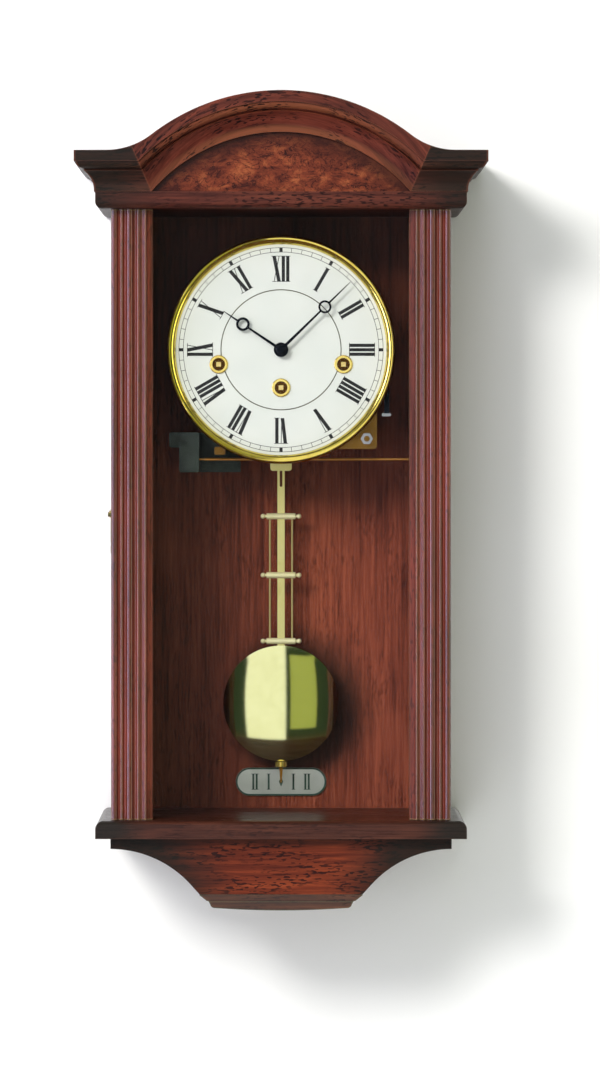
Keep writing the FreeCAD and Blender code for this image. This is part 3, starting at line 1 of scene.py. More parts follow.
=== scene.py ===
"""Looks of the wall clock: its materials, the printing on its dial and beat plate, and the studio.

Metres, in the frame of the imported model: X to the right, Y towards the wall, Z up.
"""
import bmesh
import bpy
import json
import math
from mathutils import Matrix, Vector


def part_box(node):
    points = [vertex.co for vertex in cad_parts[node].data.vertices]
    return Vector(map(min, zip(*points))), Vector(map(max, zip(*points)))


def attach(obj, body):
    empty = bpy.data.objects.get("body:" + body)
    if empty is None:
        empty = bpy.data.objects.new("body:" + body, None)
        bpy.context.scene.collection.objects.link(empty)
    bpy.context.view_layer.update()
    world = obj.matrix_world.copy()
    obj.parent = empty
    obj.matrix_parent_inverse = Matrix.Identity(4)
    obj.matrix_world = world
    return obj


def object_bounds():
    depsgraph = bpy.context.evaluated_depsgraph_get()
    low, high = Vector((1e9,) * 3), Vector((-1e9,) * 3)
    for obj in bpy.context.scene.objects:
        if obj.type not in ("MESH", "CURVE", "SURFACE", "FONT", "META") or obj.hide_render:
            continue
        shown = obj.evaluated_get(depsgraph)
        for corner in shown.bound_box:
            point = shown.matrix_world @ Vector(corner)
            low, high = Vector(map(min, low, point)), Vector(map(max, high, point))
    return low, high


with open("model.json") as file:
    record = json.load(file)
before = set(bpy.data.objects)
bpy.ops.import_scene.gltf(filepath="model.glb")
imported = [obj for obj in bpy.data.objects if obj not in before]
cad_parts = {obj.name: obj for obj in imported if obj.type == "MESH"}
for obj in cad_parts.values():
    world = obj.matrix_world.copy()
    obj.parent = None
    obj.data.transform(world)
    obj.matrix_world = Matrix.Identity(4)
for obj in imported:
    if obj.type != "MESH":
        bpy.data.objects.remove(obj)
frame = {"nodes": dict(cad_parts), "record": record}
cad_low, cad_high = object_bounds()

MM = 0.001
EYE_Z = -135.1 * MM          # height of the camera
EYE_DISTANCE = 3200 * MM     # camera to the front of the door
VIEW_HEIGHT = 736.4 * MM     # what the frame takes in there, top to bottom
AXIS_LEFT = 12.9 * MM        # the clock's axis left of the middle of the frame
EYE_ABOVE = 60.9 * MM        # eye level above the middle of the frame

DIAL_LOW, DIAL_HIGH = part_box("dial_plate")
DIAL = Vector(((DIAL_LOW.x + DIAL_HIGH.x) / 2, DIAL_LOW.y, (DIAL_LOW.z + DIAL_HIGH.z) / 2))
PRINT_T = 0.05 * MM          # thickness of the printed ink
PRINT_SINK = 0.02 * MM       # how deep its back lies in what it is printed on


# ---------------------------------------------------------------- shader building
def rgb(code):
    """A colour given as six hex digits of sRGB, in linear light."""
    channels = []
    for i in (0, 2, 4):
        c = int(code[i:i + 2], 16) / 255
        channels.append(c / 12.92 if c <= 0.04045 else ((c + 0.055) / 1.055) ** 2.4)
    return (*channels, 1.0)


class Graph:
    """Short ways to add and link the nodes of one tree."""

    def __init__(self, tree):
        self.tree = tree
        self.tree.nodes.clear()

    def add(self, kind, inputs=None, **settings):
        node = self.tree.nodes.new("ShaderNode" + kind)
        for key, value in settings.items():
            setattr(node, key, value)
        for key, value in (inputs or {}).items():
            if isinstance(value, bpy.types.NodeSocket):
                self.tree.links.new(value, node.inputs[key])
            else:
                node.inputs[key].default_value = value
        return node

    def place(self):
        return self.add("TexCoord").outputs["Object"]

    def axes(self, vector):
        node = self.add("SeparateXYZ", {0: vector})
        return node.outputs[0], node.outputs[1], node.outputs[2]

    def join(self, x, y, z):
        return self.add("CombineXYZ", {0: x, 1: y, 2: z}).outputs[0]

    def calc(self, operation, a, b=0.0):
        return self.add("Math", {0: a, 1: b}, operation=operation).outputs[0]

    def scaled(self, vector, scale):
        return self.add("Mapping", {"Vector": vector, "Scale": scale}).outputs[0]

    def noise(self, vector, scale=1.0, detail=2.0, roughness=0.5, distortion=0.0):
        return self.add("TexNoise", {"Vector": vector, "Scale": scale, "Detail": detail,
                                     "Roughness": roughness, "Distortion": distortion}).outputs[0]

    def step(self, value, start, end, low=0.0, high=1.0):
        """Turns smoothly from low to high as value goes from start to end."""
        return self.add("MapRange", {"Value": value, "From Min": start, "From Max": end,
                                     "To Min": low, "To Max": high},
                        interpolation_type="SMOOTHSTEP").outputs[0]

    def within(self, value, low, high, soft):
        """One between low and high, and nought outside them."""
        rise = self.step(value, low - soft, low + soft)
        return self.calc("MULTIPLY", rise, self.step(value, high - soft, high + soft, 1.0, 0.0))

    def ramp(self, value, *stops):
        node = self.add("ValToRGB", {0: value})
        elements = node.color_ramp.elements
        for position, colour in stops[2:]:
            elements.new(position)
        for element, (position, colour) in zip(elements, stops):
            element.position = position
            element.color = colour
        return node.outputs[0]

    def mix(self, amount, a, b, blend="MIX"):
        node = self.add("Mix", {0: amount, 6: a, 7: b}, data_type="RGBA", blend_type=blend)
        return node.outputs[2]

    def bump(self, height, distance):
        return self.add("Bump", {"Height": height, "Distance": distance,
                                 "Strength": 1.0}).outputs[0]

    def hollow(self, distance, inside=False):
        """Ambient occlusion: low in corners, or with inside, low along outer edges."""
        return self.add("AmbientOcclusion", {"Distance": distance}, samples=4, inside=inside,
                        only_local=True).outputs["AO"]


def material(name):
    made = bpy.data.materials.new(name)
    made.use_nodes = True
    return made, Graph(made.node_tree)


def close(graph, **inputs):
    """The Principled surface and the output. Underscores stand for spaces."""
    named = {key.replace("_", " "): value for key, value in inputs.items()}
    surface = graph.add("BsdfPrincipled", named)
    graph.add("OutputMaterial", {"Surface": surface.outputs[0]})


# ---------------------------------------------------------------- wood
def grain_along(graph, along):
    """Coordinates with the grain along the first axis."""
    x, y, z = graph.axes(graph.place())
    if along == "Z":
        return graph.join(z, x, y)
    if along == "ARCH":
        return arch_grain(graph, x, y, z)
    return graph.join(x, y, z)


def arch_grain(graph, x, y, z):
    """Grain that bends round the arch of the crown."""
    low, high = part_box("arch_moulding")
    half = (high.x - low.x) / 2
    rise = high.z - low.z
    radius = (half * half + rise * rise) / (2 * rise)
    up = graph.calc("SUBTRACT", z, high.z - radius)
    turn = graph.calc("ARCTAN2", x, up)
    out = graph.calc("SQRT", graph.calc("ADD", graph.calc("MULTIPLY", x, x),
                                        graph.calc("MULTIPLY", up, up)))
    return graph.join(graph.calc("MULTIPLY", turn, radius), y, out)


def wood(name, dark, middle, light, along="X", pores=0.6, pore_size=(190, 900), shade=None,
         tones=None, hollow="140705", edge=None, wear_and_highlight_amount=0.4, roughness=0.38, gloss=0.04):
    """Lacquered open-pored wood. shade(graph, x, y, z) gives a darkening by position, 0 to 1, which
    on the back panel and the console is painted shade, and tones(graph, colour, x, y, z) tints the
    members of a moulding."""
    made, g = material(name)
    grain = grain_along(g, along)
    fibre = g.noise(g.scaled(grain, (16, 420, 420)), detail=5, roughness=0.62, distortion=0.25)
    fine = g.noise(g.scaled(grain, (70, 1900, 1900)), detail=2)
    drift = g.noise(g.scaled(grain, (7, 24, 24)), detail=3, distortion=0.6)
    streak = g.calc("ADD", g.calc("MULTIPLY", fibre, 0.62), g.calc("MULTIPLY", drift, 0.38))
    colour = g.ramp(streak, (0.34, rgb(dark)), (0.5, rgb(middle)), (0.66, rgb(light)))
    colour = g.mix(g.step(fine, 0.3, 0.8, 0.0, 0.4), colour, rgb(dark))
    place = g.axes(g.place())
    if tones is not None:
        colour = tones(g, colour, *place)
    long, wide = pore_size
    dash = g.noise(g.scaled(grain, (long, wide, wide)), detail=1, roughness=0.4)
    patch = g.noise(g.scaled(grain, (22, 60, 60)), detail=1)
    cover = g.calc("MULTIPLY", g.step(dash, 0.56, 0.61), g.step(patch, 0.34, 0.58))
    colour = g.mix(g.calc("MULTIPLY", cover, pores), colour, rgb("120708"))
    if shade is not None:
        colour = g.mix(shade(g, *place), colour, rgb("1b1a16"))
    # painted shade: ambient occlusion gives corners and grooves the hollow colour, which on the
    # stiles is a redder tone
    colour = g.mix(g.step(g.hollow(5 * MM), 0.35, 0.95, 0.75, 0.0), colour, rgb(hollow))
    # outer edges take the edge colour as wear and as painted highlight: the beige on the stiles'
    # beads and the greenish edge of the cap are painted highlight
    if edge is not None:
        wear_and_highlight_mask = g.step(g.hollow(1.2 * MM, inside=True), 0.4, 0.85, wear_and_highlight_amount, 0.0)
        colour = g.mix(wear_and_highlight_mask, colour, rgb(edge))
    height = g.calc("SUBTRACT", g.calc("MULTIPLY", fibre, 0.25), g.calc("MULTIPLY", cover, 1.0))
    shine = g.step(fibre, 0.3, 0.7, roughness, roughness + 0.1)
    close(g, Base_Color=colour, Roughness=shine, Normal=g.bump(height, 0.07 * MM),
          Coat_Weight=gloss, Coat_Roughness=0.2, Specular_IOR_Level=0.12)
    return made


def toward_ends(start, end, most=0.9):
    """Darkens from start to end, both distances from the clock's axis."""
    def shade(g, x, y, z):
        wave = g.calc("MULTIPLY", g.noise(g.place(), scale=45, detail=3), 0.016)
        return g.step(g.calc("ADD", g.calc("ABSOLUTE", x), wave), start, end, 0.0, most)
    return shade


def moulding_tones(g, colour, x, y, z):
    """The bead and the thin line are painted lighter, as wear and as painted highlight, and the cove
    redder than the fascia over them, all most towards the middle.
    """
    low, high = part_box("top_board")
    beside = g.calc("SUBTRACT", g.calc("ABSOLUTE", x), high.x)
    before = g.calc("SUBTRACT", low.y, y)
    out = g.calc("MAXIMUM", beside, before)
    soft = 0.4 * MM
    cove = g.within(out, 1.5 * MM, 7.9 * MM, soft)
    bead = g.within(out, 9.2 * MM, 12.8 * MM, soft)
    line = g.within(out, 0.4 * MM, 1.2 * MM, soft)
    middle = g.step(g.calc("ABSOLUTE", x), 0.02, 0.11, 1.0, 0.35)
    colour = g.mix(g.calc("MULTIPLY", cove, g.calc("MULTIPLY", middle, 0.3)), colour, rgb("702817"))
    lighter = g.calc("MAXIMUM", bead, line)
    return g.mix(g.calc("MULTIPLY", lighter, g.calc("MULTIPLY", middle, 0.45)), colour, rgb("8e5233"))


def console_shade(g, x, y, z):
    """Painted shade along the upper band and the flanks of the console."""
    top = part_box("console_front")[1].z
    wave = g.calc("MULTIPLY", g.noise(g.place(), scale=38, detail=3), 0.02)
    depth = g.calc("SUBTRACT", top, z)
    reach = g.calc("ADD", g.calc("ADD", g.calc("ABSOLUTE", x), wave),
                   g.calc("MULTIPLY", depth, 0.35))
    ends = g.step(reach, 0.045, 0.098, 0.0, 0.93)
    band = g.step(depth, 0.0, 7 * MM, 0.55, 0.0)
    return g.calc("MAXIMUM", ends, band)


def panel_shade(g, x, y, z):
    """Painted shade at the top, at the left and round the bob at rest. It stands in for shadow:
    it stays where it is when the pendulum swings, and it shows on the rear of the panel too."""
    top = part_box("back_panel")[1].z
    upper = g.step(z, top - 0.26, top - 0.06, 0.0, 0.6)
    left = g.step(x, -0.085, 0.045, 0.42, 0.0)
    bob_low, bob_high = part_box("pendulum_bob")
    across = g.calc("DIVIDE", g.calc("SUBTRACT", x, (bob_low.x + bob_high.x) / 2 + 8 * MM), 58 * MM)
    along = g.calc("DIVIDE", g.calc("SUBTRACT", z, (bob_low.z + bob_high.z) / 2 - 4 * MM), 58 * MM)
    off = g.calc("SQRT", g.calc("ADD", g.calc("MULTIPLY", across, across),
                                g.calc("MULTIPLY", along, along)))
    return g.calc("MAXIMUM", g.calc("MAXIMUM", upper, left), g.step(off, 0.6, 1.15, 0.8, 0.0))


def burl(name):
    """Root veneer: clouded colour, dark wandering veins and small eyes."""
    made, g = material(name)
    place = g.place()
    swirl = g.noise(g.scaled(place, (26, 26, 40)), detail=4, roughness=0.6, distortion=1.6)
    cloud = g.noise(g.scaled(place, (60, 60, 95)), detail=5, roughness=0.65, distortion=2.4)
    veins = g.noise(g.scaled(place, (52, 52, 95)), detail=3, roughness=0.55, distortion=3.2)
    speck = g.noise(g.scaled(place, (420, 420, 620)), detail=3, roughness=0.7)
    blend = g.calc("ADD", g.calc("MULTIPLY", swirl, 0.5), g.calc("MULTIPLY", cloud, 0.5))
    colour = g.ramp(blend, (0.38, rgb("46190f")), (0.5, rgb("74341f")), (0.62, rgb("9a5230")))
    line = g.within(veins, 0.478, 0.522, 0.01)
    line = g.calc("MULTIPLY", line, g.step(cloud, 0.38, 0.62, 1.0, 0.35))
    curl = g.noise(g.scaled(place, (130, 130, 210)), detail=2, roughness=0.5, distortion=2.6)
    line = g.calc("MAXIMUM", line, g.calc("MULTIPLY", g.within(curl, 0.49, 0.51, 0.008), 0.6))
    colour = g.mix(line, colour, rgb("200b08"))
    colour = g.mix(g.step(speck, 0.5, 0.75, 0.0, 0.45), colour, rgb("4a1a0c"))
    # the veneer is darker towards the sides and the top of the panel
    low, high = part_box("arch_panel")
    half = (high.x - low.x) / 2
    rise = high.z - low.z
    x, y, z = g.axes(place)
    across = g.calc("DIVIDE", x, half)
    up = g.calc("DIVIDE", g.calc("SUBTRACT", z, low.z), rise)
    out = g.calc("ADD", g.calc("MULTIPLY", across, across), up)
    colour = g.mix(g.step(out, 0.55, 1.0, 0.0, 0.8), colour, rgb("2a0f09"))
    close(g, Base_Color=colour, Roughness=g.step(cloud, 0.3, 0.7, 0.3, 0.42),
          Normal=g.bump(blend, 0.05 * MM), Coat_Weight=0.08, Coat_Roughness=0.15,
          Specular_IOR_Level=0.12)
    return made


# ---------------------------------------------------------------- metal, iron, enamel and glass
MARK_DEPTH = 0.004 * MM      # relief of the wiping marks on metal


def metal(name, tint, stain, roughness, spread=0.06, brushed=(900, 900, 900), metallic=1.0,
          tones=None):
    """Metal with faint stains and wiping marks. brushed stretches the marks along one axis, and
    tones(graph, colour, x, y, z) tints parts of the piece."""
    made, g = material(name)
    place = g.place()
    cloud = g.noise(g.scaled(place, (70, 70, 70)), detail=4, distortion=0.8)
    marks = g.noise(g.scaled(place, brushed), detail=3, roughness=0.6)
    colour = g.mix(g.step(cloud, 0.35, 0.8, 0.0, 0.5), rgb(tint), rgb(stain))
    if tones is not None:
        colour = tones(g, colour, *g.axes(place))
    shine = g.step(marks, 0.25, 0.75, roughness, roughness + spread)
    close(g, Base_Color=colour, Metallic=metallic, Roughness=shine,
          Normal=g.bump(marks, MARK_DEPTH))
    return made


def duller_inside(g, colour, x, y, z):
    """Painted shade on a winding arbor behind its bright end, standing in for that of the dial."""
    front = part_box("time_winding_arbor")[0].y
    return g.mix(g.step(y, front + 2 * MM, front + 4 * MM), colour, rgb("5c3f1c"))


def darker_rods(g, colour, x, y, z):
    """Painted shade: the two thin rods are painted a browner brass than the crossbars in front of
    them.
    """
    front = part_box("pendulum_frame")[0].y
    beside = g.within(g.calc("ABSOLUTE", x), 6.8 * MM, 8.7 * MM, 0.1 * MM)
    behind = g.step(y, front + 1.3 * MM, front + 1.5 * MM)
    return g.mix(g.calc("MULTIPLY", beside, behind), colour, rgb("a8934c"))


def darker_pointer(g, colour, x, y, z):
    """Painted shade: the point under the bob is painted a browner brass than the strip."""
    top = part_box("rating_nut")[1].z
    return g.mix(g.step(z, top, top + 2 * MM, 1.0, 0.0), colour, rgb("8f6424"))


def cast_iron(name):
    made, g = material(name)
    place = g.place()
    grit = g.noise(place, scale=1500, detail=3, roughness=0.7)
    blotch = g.noise(place, scale=160, detail=4)
    colour = g.ramp(grit, (0.36, rgb("1b2421")), (0.5, rgb("39433e")), (0.66, rgb("6a756c")))
    colour = g.mix(g.step(blotch, 0.4, 0.65, 0.0, 0.5), colour, rgb("1a2322"))
    # painted shade: ambient occlusion darkens the block's corners
    colour = g.mix(g.step(g.hollow(4 * MM), 0.4, 0.95, 0.7, 0.0), colour, rgb("0b0f0f"))
    height = g.calc("ADD", g.calc("MULTIPLY", grit, 0.7), g.calc("MULTIPLY", blotch, 0.3))
    close(g, Base_Color=colour, Metallic=0.15, Roughness=g.step(grit, 0.3, 0.7, 0.55, 0.8),
          Normal=g.bump(height, 0.5 * MM))
    return made


def enamel(name):
    """The white face of the dial, very slightly mottled."""
    made, g = material(name)
    place = g.place()
    mottle = g.noise(place, scale=35, detail=4)
    orange_peel = g.noise(place, scale=700, detail=2)
    colour = g.mix(g.step(mottle, 0.3, 0.7), rgb("e0e4dd"), rgb("dadfd8"))
    close(g, Base_Color=colour, Roughness=g.step(orange_peel, 0.3, 0.7, 0.32, 0.4),
          Normal=g.bump(orange_peel, 0.01 * MM), Coat_Weight=0.25, Coat_Roughness=0.15)
    return made


def ink(name, tint, faded):
    made, g = material(name)
    wear = g.noise(g.place(), scale=900, detail=3)
    colour = g.mix(g.step(wear, 0.35, 0.7), rgb(tint), rgb(faded))
    close(g, Base_Color=colour, Roughness=g.step(wear, 0.3, 0.7, 0.4, 0.55),
          Normal=g.bump(wear, 0.01 * MM))
    return made


def glass(name):
    """Clear door glass, seen only by a faint gloss."""
    made, g = material(name)
    smear = g.noise(g.place(), scale=14, detail=3)
    close(g, Base_Color=rgb("0a0c0b"), Roughness=g.step(smear, 0.35, 0.75, 0.02, 0.08),
          Alpha=0.04, IOR=1.5)
    return made


MATERIALS = {
    "dark_wood": wood("dark_wood", "200e0c", "50271f", "6e3829", edge="784838", pores=0.85,
                      shade=toward_ends(0.08, 0.145, 0.85)),
    "cornice_wood": wood("cornice_wood", "20100d", "502a21", "713c2e", edge="784838", pores=0.85,
                         tones=moulding_tones, shade=toward_ends(0.06, 0.125, 0.85)),
    "arch_wood": wood("arch_wood", "240f0c", "572920", "7e3e2e", along="ARCH", edge="84492f",
                      pores=0.95, tones=moulding_tones, shade=toward_ends(0.1, 0.15, 0.7)),
    "shelf_wood": wood("shelf_wood", "220f0b", "43231a", "5a3225", edge="644032", pores=0.5,
                       shade=toward_ends(0.095, 0.125, 0.88), roughness=0.24, gloss=0.12),
    "stile_wood": wood("stile_wood", "38140f", "622a20", "80392b", along="Z", edge="b3966c",
                       pores=0.5, hollow="7c2810", wear_and_highlight_amount=0.85, roughness=0.3, gloss=1.0),
    "side_wood": wood("side_wood", "281110", "4c251b", "6a3423", along="Z"),
    "console_wood": wood("console_wood", "38120b", "6b2b17", "8e3f21", pores=0.85,
                         pore_size=(210, 900), shade=console_shade),
    "console_side_wood": wood("console_side_wood", "1c0e0b", "321812", "482218"),
    "cap_wood": wood("cap_wood", "1a120c", "46291a", "643a24", edge="73805f", roughness=0.16,
                     gloss=0.5, shade=toward_ends(0.07, 0.11, 0.5)),
    "panel_wood": wood("panel_wood", "54261b", "8c4631", "ac5c40", along="Z", pores=0.4,
                       pore_size=(200, 900), shade=panel_shade, roughness=0.5, gloss=0.0),
    "burl": burl("burl"),
    "glass": glass("glass"),
    "polished_brass": metal("polished_brass", "ecd478", "cca645", 0.07, spread=0.05),
    "bob_brass": metal("bob_brass", "e4e3a2", "d8d690", 0.05, spread=0.04),
    "aged_brass": metal("aged_brass", "8c8458", "6c6340", 0.35),
    "bezel_brass": metal("bezel_brass", "e6d064", "c9a83c", 0.1),
    "pale_brass": metal("pale_brass", "f2e79c", "dccb74", 0.36, brushed=(900, 900, 60),
                        tones=darker_pointer),
    "ivory_brass": metal("ivory_brass", "fdf7c4", "f4e8a4", 0.42, metallic=0.4,
                         tones=darker_rods),
    "winding_brass": metal("winding_brass", "f2d88c", "caa04c", 0.2, tones=duller_inside),
    # painted shade: the movement's brass is a darker copy, for the shade it lies in behind the dial
    "movement_brass": metal("movement_brass", "8c6830", "60431c", 0.34, brushed=(60, 900, 900)),
    "steel": metal("steel", "b9babd", "8d9094", 0.28),
    "blued_steel": metal("blued_steel", "171b22", "0c0e12", 0.3),
    "dial_white": enamel("dial_white"),
    "beat_silver": metal("beat_silver", "d6d9d0", "bcc2b6", 0.42, brushed=(40, 900, 900)),
    "iron": cast_iron("iron"),
    "gong_bronze": metal("gong_bronze", "d69a4c", "a5672a", 0.3, brushed=(40, 900, 900)),
    "black_ink": ink("black_ink", "0b0d0d", "191b1b"),
    "grey_ink": ink("grey_ink", "2e3331", "484e4b"),
    "olive_ink": ink("olive_ink", "3d3c28", "55543a"),
    "green_ink": ink("green_ink", "1f3a2e", "32503f"),
}
NODE_MATERIAL = {
    "arch_moulding": "arch_wood",
    "cornice_mouldings": "cornice_wood",
    "top_board": "dark_wood",
    "base_shelf": "shelf_wood",
    "case_sides": "side_wood",
    "door_stile_left": "stile_wood",
    "door_stile_right": "stile_wood",
    "console_front": "console_wood",
    "console_sides": "console_side_wood",
    "console_cap": "cap_wood",
    "dial_bezel": "bezel_brass",
    "pendulum_bob": "bob_brass",
    "pendulum_frame": "ivory_brass",
    "time_winding_arbor": "winding_brass",
    "strike_winding_arbor": "winding_brass",
    "chime_winding_arbor": "winding_brass",
    "latch_hook": "aged_brass",
    "latch_stud": "aged_brass",
}


def dress_nodes():
    """Every CAD node gets a finish: its own, or that of its material slot."""
    slots = {s["node"]: s["material_slot"] for s in frame["record"]["subparts"]}
    for name, obj in frame["nodes"].items():
        finish = MATERIALS[NODE_MATERIAL.get(name, slots[name])]
        obj.data.materials.clear()
        obj.data.materials.append(finish)


# ---------------------------------------------------------------- printing
def printed(name, shapes, finish, front, body):
    """Flat shapes in the XZ plane, given as lists of (x, z), made into one thin printed piece."""
    bm = bmesh.new()
    for points in shapes:
        near = [bm.verts.new((x, front - PRINT_T, z)) for x, z in points]
        far = [bm.verts.new((x, front + PRINT_SINK, z)) for x, z in points]
        bm.faces.new(near)
        bm.faces.new(list(reversed(far)))
        for i in range(len(points)):
            j = (i + 1) % len(points)
            bm.faces.new((near[i], far[i], far[j], near[j]))
    bmesh.ops.recalc_face_normals(bm, faces=bm.faces)
    piece(name, bm, finish, body)


def piece(name, bm, finish, body):
    """Puts a mesh on a body of the clock, with its finish."""
    mesh = bpy.data.meshes.new(name)
    bm.to_mesh(mesh)
    bm.free()
    obj = bpy.data.objects.new(name, mesh)
    bpy.context.scene.collection.objects.link(obj)
    mesh.materials.append(MATERIALS[finish])
    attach(obj, body)


def on_dial(points, clock_degrees):
    """Points (right, outwards) of a mark at an hour angle, placed on the dial."""
    a = math.radians(clock_degrees)
    placed = []
    for right, out in points:
        placed.append((DIAL.x + right * math.cos(a) + out * math.sin(a),
                       DIAL.z - right * math.sin(a) + out * math.cos(a)))
    return placed


def stroke(x0, y0, x1, y1, width):
    """A stem with level ends."""
    h = width / 2
    return [(x0 - h, y0), (x0 + h, y0), (x1 + h, y1), (x1 - h, y1)]


def serif(x, y, half, thick):
    return [(x - half, y - thick / 2), (x + half, y - thick / 2),
            (x + half, y + thick / 2), (x - half, y + thick / 2)]


STEM = 2.25 * MM             # thick strokes of the numerals
HAIR = 0.4 * MM              # thin strokes and serifs
LETTER_W = {"I": 3.05 * MM, "V": 5.7 * MM, "X": 6.2 * MM}
NUMERAL_R = (46.9 * MM, 64.3 * MM)
NUMERALS = ("XII", "I", "II", "III", "IIII", "V", "VI", "VII", "VIII", "IX", "X", "XI")


def letter(kind, x, low, high):
    """The thick and the thin shapes of one letter, centred on x."""
    if kind == "I":
        thick = [stroke(x, low, x, high, STEM)]
        thin = [serif(x, low, STEM * 0.82, HAIR), serif(x, high, STEM * 0.82, HAIR)]
        return thick, thin
    reach = LETTER_W[kind] / 2 - STEM * 0.62
    foot = reach if kind == "X" else 0.25 * STEM
    tail = -reach if kind == "X" else 0.45 * STEM
    thick = [stroke(x + foot, low, x - reach, high, STEM * 1.08)]
    thin = [stroke(x + tail, low, x + reach, high, HAIR * 1.2),
            serif(x - reach, high, STEM * 0.85, HAIR), serif(x + reach, high, STEM * 0.6, HAIR)]
    if kind == "X":
        thin += [serif(x + reach, low, STEM * 0.85, HAIR), serif(x - reach, low, STEM * 0.6, HAIR)]
    return thick, thin


def numerals():
    low, high = NUMERAL_R
    thick, thin = [], []
    for hour, text in enumerate(NUMERALS):
        width = sum(LETTER_W[kind] for kind in text)
        x = -width / 2
        for kind in text:
            stems, hairs = letter(kind, x + LETTER_W[kind] / 2, low, high)
            thick += [on_dial(points, 30 * hour) for points in stems]
            thin += [on_dial(points, 30 * hour) for points in hairs]
            x += LETTER_W[kind]
    printed("dial_numerals", thick, "black_ink", DIAL.y, "case")
    printed("dial_numeral_hairs", thin, "black_ink", DIAL.y, "case")


TRACK_R = (67.1 * MM, 70.1 * MM)
TRACK_LINE = 0.36 * MM
BLOCK_W = 2.2 * MM
INNER_CIRCLE_R = 41.2 * MM
INNER_LINE = 0.68 * MM


def arc_strip(r0, r1, start, end, steps):
    """A narrow ring sector as one polygon, angles clockwise from twelve."""
    outer, inner = [], []
    for i in range(steps + 1):
        a = math.radians(start + (end - start) * i / steps)
        outer.append((DIAL.x + r1 * math.sin(a), DIAL.z + r1 * math.cos(a)))
        inner.append((DIAL.x + r0 * math.sin(a), DIAL.z + r0 * math.cos(a)))
    return outer + list(reversed(inner))


def minute_track():
    inner, outer = TRACK_R
    lines, blocks = [], []
    for minute in range(60):
        start = 6 * minute
        for r in TRACK_R:
            lines.append(arc_strip(r - TRACK_LINE / 2, r + TRACK_LINE / 2, start, start + 6, 4))
        if minute % 5:
            lines.append(on_dial(stroke(0, inner, 0, outer, TRACK_LINE), start))
        else:
            blocks.append(on_dial(stroke(0, inner - TRACK_LINE / 2, 0, outer + TRACK_LINE / 2,
                                         BLOCK_W), start))
    printed("minute_track", lines, "grey_ink", DIAL.y, "case")
    printed("hour_blocks", blocks, "black_ink", DIAL.y, "case")


def inner_circle():
    """The thin circle, broken where the winding holes lie on it."""
    holes = []
    for name in ("time_winding_arbor", "strike_winding_arbor", "chime_winding_arbor"):
        low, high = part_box(name)
        holes.append(((low.x + high.x) / 2, (low.z + high.z) / 2))
    grommet_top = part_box("winding_grommets")[1].z
    clear = (grommet_top - max(z for x, z in holes)) * 0.85
    half = INNER_LINE / 2
    arcs = []
    for i in range(180):
        a = math.radians(2 * i + 1)
        x = DIAL.x + INNER_CIRCLE_R * math.sin(a)
        z = DIAL.z + INNER_CIRCLE_R * math.cos(a)
        if all(math.dist((x, z), hole) > clear for hole in holes):
            arcs.append(arc_strip(INNER_CIRCLE_R - half, INNER_CIRCLE_R + half,
                                  2 * i, 2 * i + 2, 2))
    printed("inner_circle", arcs, "olive_ink", DIAL.y, "case")


BEAT_STROKES = (8.7 * MM, 17.1 * MM, 19.5 * MM)    # strokes each side of the middle
BEAT_STEM = 1.35 * MM
BEAT_STROKE_HALF = 5.4 * MM
BEAT_BORDER = 1.2 * MM
LOZENGE_HALF = (1.5 * MM, 3.6 * MM)


def beat_marks():
    """The swing scale: one and two strokes each side, and a plain lozenge in the middle."""
    low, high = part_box("beat_plate")
    middle = (low.z + high.z) / 2
    x0 = (low.x + high.x) / 2
    ends = (middle - BEAT_STROKE_HALF, middle + BEAT_STROKE_HALF)
    shapes = []
    for side in (-1, 1):
        for x in BEAT_STROKES:
            at = x0 + side * x
            shapes.append(stroke(at, ends[0], at, ends[1], BEAT_STEM))
            for z in ends:
                shapes.append(serif(at, z, BEAT_STEM * 0.95, HAIR))
    wide, tall = LOZENGE_HALF
    shapes.append([(x0, middle - tall), (x0 + wide, middle), (x0, middle + tall),
                   (x0 - wide, middle)])
    printed("beat_marks", shapes, "green_ink", low.y, "case")
    ring = []
    for inset in (0.0, BEAT_BORDER):
        ring.append(stadium(x0, middle, (high.x - low.x) / 2 - inset, (high.z - low.z) / 2 - inset))
    outer, inner = ring
    bands = []
    for i in range(len(outer)):
        j = (i + 1) % len(outer)
        bands.append([outer[i], outer[j], inner[j], inner[i]])
    printed("beat_border", bands, "green_ink", low.y, "case")


def stadium(x0, z0, half_w, half_h):
    """The outline of a plate with round ends."""
    points = []
    turns = 16
    for side in (1, -1):
        first = 180 - 90 * side
        for i in range(turns + 1):
            a = math.radians(first - 180 * i / turns)
            points.append((x0 + side * (half_w - half_h) + half_h * math.cos(a),
                           z0 + half_h * math.sin(a)))
    return points


def silence_tip():
    """The bright bent end of the silence lever, beside the dial."""
    low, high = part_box("silence_lever")
    reach = 5.0 * MM
    thick = 2.0 * MM
    bm = bmesh.new()
    outline = [(high.x - reach, low.z - thick), (high.x + 0.6 * MM, low.z - thick),
               (high.x + 1.4 * MM, low.z - thick * 0.6), (high.x + 1.4 * MM, low.z - thick * 0.3),
               (high.x + 0.4 * MM, low.z + 0.2 * MM), (high.x - reach, low.z + 0.2 * MM)]
    near = [bm.verts.new((x, low.y, z)) for x, z in outline]
    face = bm.faces.new(near)
    drawn = bmesh.ops.extrude_face_region(bm, geom=[face])
    moved = [v for v in drawn["geom"] if isinstance(v, bmesh.types.BMVert)]
    bmesh.ops.translate(bm, verts=moved, vec=(0, high.y - low.y, 0))
    bmesh.ops.recalc_face_normals(bm, faces=bm.faces)
    bmesh.ops.bevel(bm, geom=bm.edges[:], offset=0.25 * MM, segments=2, affect="EDGES")
    piece("silence_tip", bm, "steel", "silencer")


